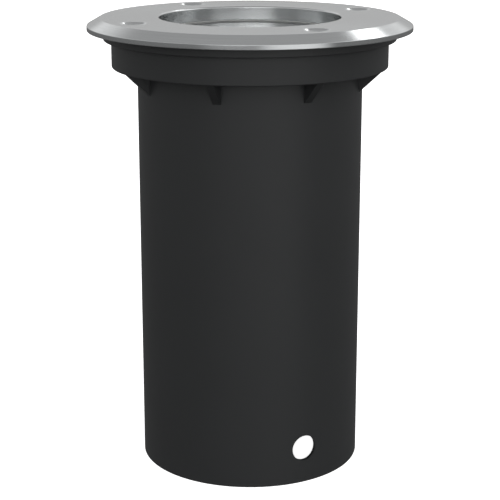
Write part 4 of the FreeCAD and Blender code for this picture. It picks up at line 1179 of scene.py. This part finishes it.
stainless = brushed_steel("stainless_brushed", (0.61, 0.625, 0.63), 0.19)
ring = turned("ring_body", rounded([
    (opening_r, low.z, fine_edge),
    (opening_r, ring_top, 1 * mm),
    (ring_flat_r, ring_top, ring_edge),
    (ring_r, ring_rim_top, ring_edge),
    (ring_r, sleeve_top, 0.4 * mm),
    (ring_land_r, sleeve_top, fine_edge),
    (ring_land_r, ring_under, ring_edge),
    (skirt_outer_r, ring_under, ring_edge),
    (skirt_outer_r, low.z, fine_edge),
]), 384)
ring_boss = button("ring_boss", ring_boss_r, sleeve_top, ring_top - 2 * mm, (fine_edge, 0), 6, 64)
ring_bosses = repeat_round("ring_bosses", ring_boss, screw_count, screw_circle_r, stainless)
dish = turned("dish", rounded([
    (0, ring_top + overrun),
    (dish_r + 0.5 * mm, ring_top + overrun),
    (dish_r + 0.5 * mm, ring_top + 0.05 * mm),
    (dish_r - 0.1 * mm, ring_top - 0.12 * mm, 0.6 * mm),
    (dish_floor_r, dish_floor, 4 * mm),
    (head_hole_r, dish_floor, 0.1 * mm),
    (head_hole_r, head_seat),
    (ring_hole_r, head_seat - (head_hole_r - ring_hole_r)),
    (ring_hole_r, sleeve_top - overrun),
    (0, sleeve_top - overrun),
]), 96)
dishes = repeat_round("dishes", dish, screw_count, screw_circle_r, stainless)
combine(ring, [ring_bosses], "UNION")
combine(ring, [dishes], "DIFFERENCE")
finish_piece(ring, "cover", stainless, "stainless", "cover_ring", crease=32)


# Ring screws: four countersunk stainless screws with hexagon sockets. Their heads sit flush with the floors
# of the dishes, and their threads reach down into the sleeve's inserts.

low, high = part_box("ring_screws")
head_top = high.z
thread_r = 2.4 * mm
socket_r = 1.7 * mm
socket_foot = head_top - 1.6 * mm
head_foot = head_top - head_land - (head_r - thread_r)
screw_thread = (thread_r, 0.8 * mm, low.z + 0.6 * mm, head_foot - 1 * mm)
socket = turned("socket", [(0, head_top + overrun), (socket_r, head_top + overrun), (socket_r, socket_foot),
                           (0, socket_foot - 0.8 * mm)], 6)
screw = turned("screw", [(0, low.z), (thread_r - 0.6 * mm, low.z)] + thread_wall(*screw_thread)
               + rounded([(thread_r, head_foot), (head_r, head_top - head_land, 0.08 * mm),
                          (head_r, head_top, 0.15 * mm), (0, head_top)], 3), 48)
cut_thread(screw, 0.35 * mm, *screw_thread)
combine(screw, [socket], "DIFFERENCE")
screws = repeat_round("screws", screw, screw_count, screw_circle_r, screw_steel)
finish_piece(screws, "cover", screw_steel, "screw_steel", "ring_screws", crease=28)


# Floor and light: a white floor and backdrop that only the camera sees. The light comes from a grey sky
# that changes with its height, and from five soft boxes painted into it as smooth glows.

floor_r = 30
backdrop_r = 1.2 * floor_r
camera_angle = -29.0
camera_forward = Vector((-math.sin(math.radians(camera_angle)), math.cos(math.radians(camera_angle)), 0))
camera_right = camera_forward.cross(Vector((0, 0, 1)))
sky_levels = [(0.0, 0.10), (0.44, 0.14), (0.50, 0.44), (0.60, 0.54),
              (0.66, 0.95), (0.74, 0.80), (0.82, 0.42), (1.0, 0.46)]
floor_white, floor_tree, floor_shader = new_material("floor_white")
plug(floor_tree, floor_shader, Base_Color=(0.9, 0.9, 0.9, 1), Roughness=0.9, Specular_IOR_Level=0,
     Emission_Color=(1, 1, 1, 1), Emission_Strength=1)
floor = rod("floor", floor_r, 0, -0.01, 64)
backdrop = turned("backdrop", [(0, -floor_r)] + [
    (backdrop_r * math.cos(angle), backdrop_r * math.sin(angle))
    for angle in (-1.0, -0.6, -0.2, 0.2, 0.6, 1.0)
] + [(0, backdrop_r)], 64)
for screen in (floor, backdrop):
    screen.data.materials.append(floor_white)
    screen.visible_diffuse = False
    screen.visible_glossy = False
    screen.visible_shadow = False
backdrop.visible_transmission = False

world = bpy.data.worlds.new("studio")
bpy.context.scene.world = world
world.use_nodes = True
studio = world.node_tree
towards = add_node(studio, "ShaderNodeTexCoord").outputs["Generated"]
rise = add_node(studio, "ShaderNodeSeparateXYZ", towards).outputs["Z"]
sky_climb = add_node(studio, "ShaderNodeMapRange", Value=rise, From_Min=-1).outputs["Result"]
sky = add_node(studio, "ShaderNodeValToRGB", sky_climb)
for place, level in sky_levels[1:-1]:
    sky.color_ramp.elements.new(place)
for stop, (place, level) in zip(sky.color_ramp.elements, sky_levels):
    stop.color = (level, level, level, 1)


def soft_glow(light, turn, climb, reach, height, strength):
    """Adds a soft box to the sky: reach is its half width and height its half height, both in degrees."""
    turn, climb = math.radians(turn), math.radians(climb)
    away = (camera_forward * math.cos(turn) + camera_right * math.sin(turn)) * math.cos(climb)
    away.z = math.sin(climb)
    facing = add_node(studio, "ShaderNodeVectorMath", towards, away, operation="DOT_PRODUCT")
    across = add_node(studio, "ShaderNodeMapRange", interpolation_type="SMOOTHSTEP",
                      Value=facing.outputs["Value"], From_Min=math.cos(math.radians(reach)), From_Max=1,
                      To_Max=strength)
    off = maths(studio, "ABSOLUTE", maths(studio, "SUBTRACT", rise, away.z))
    up = add_node(studio, "ShaderNodeMapRange", interpolation_type="SMOOTHSTEP", Value=off,
                  From_Min=math.sin(math.radians(height)), From_Max=0)
    return maths(studio, "MULTIPLY_ADD", across.outputs["Result"], up.outputs["Result"], light)


light = sky.outputs["Color"]
light = soft_glow(light, 31, 38.5, 9, 8, 5)
light = soft_glow(light, 150, 8, 26, 8, 1.2)
light = soft_glow(light, 148, -8, 30, 9, 1.5)
light = soft_glow(light, 189, 10, 30, 18, 1.6)
light = soft_glow(light, 80, 34, 28, 20, 1.4)
studio.links.new(light, studio.nodes["Background"].inputs["Color"])


# Camera: at the photograph's place, 0.915 m from the axis and 0.386 m above the foot, pitched down so that
# the whole piece fits the frame.

camera_distance = 915.1 * mm
camera_height = 386.2 * mm
camera_pitch = 15.45
camera_data = bpy.data.cameras.new("camera")
camera_data.lens = 106.8
camera_data.sensor_width = 36
camera_data.clip_start = 0.05
camera_data.clip_end = 200
camera = bpy.data.objects.new("camera", camera_data)
camera.location = -camera_forward * camera_distance
camera.location.z = camera_height
camera.rotation_euler = (math.radians(90 - camera_pitch), 0, math.radians(camera_angle))
bpy.context.collection.objects.link(camera)
bpy.context.scene.camera = camera
bpy.context.scene.view_settings.view_transform = "Standard"
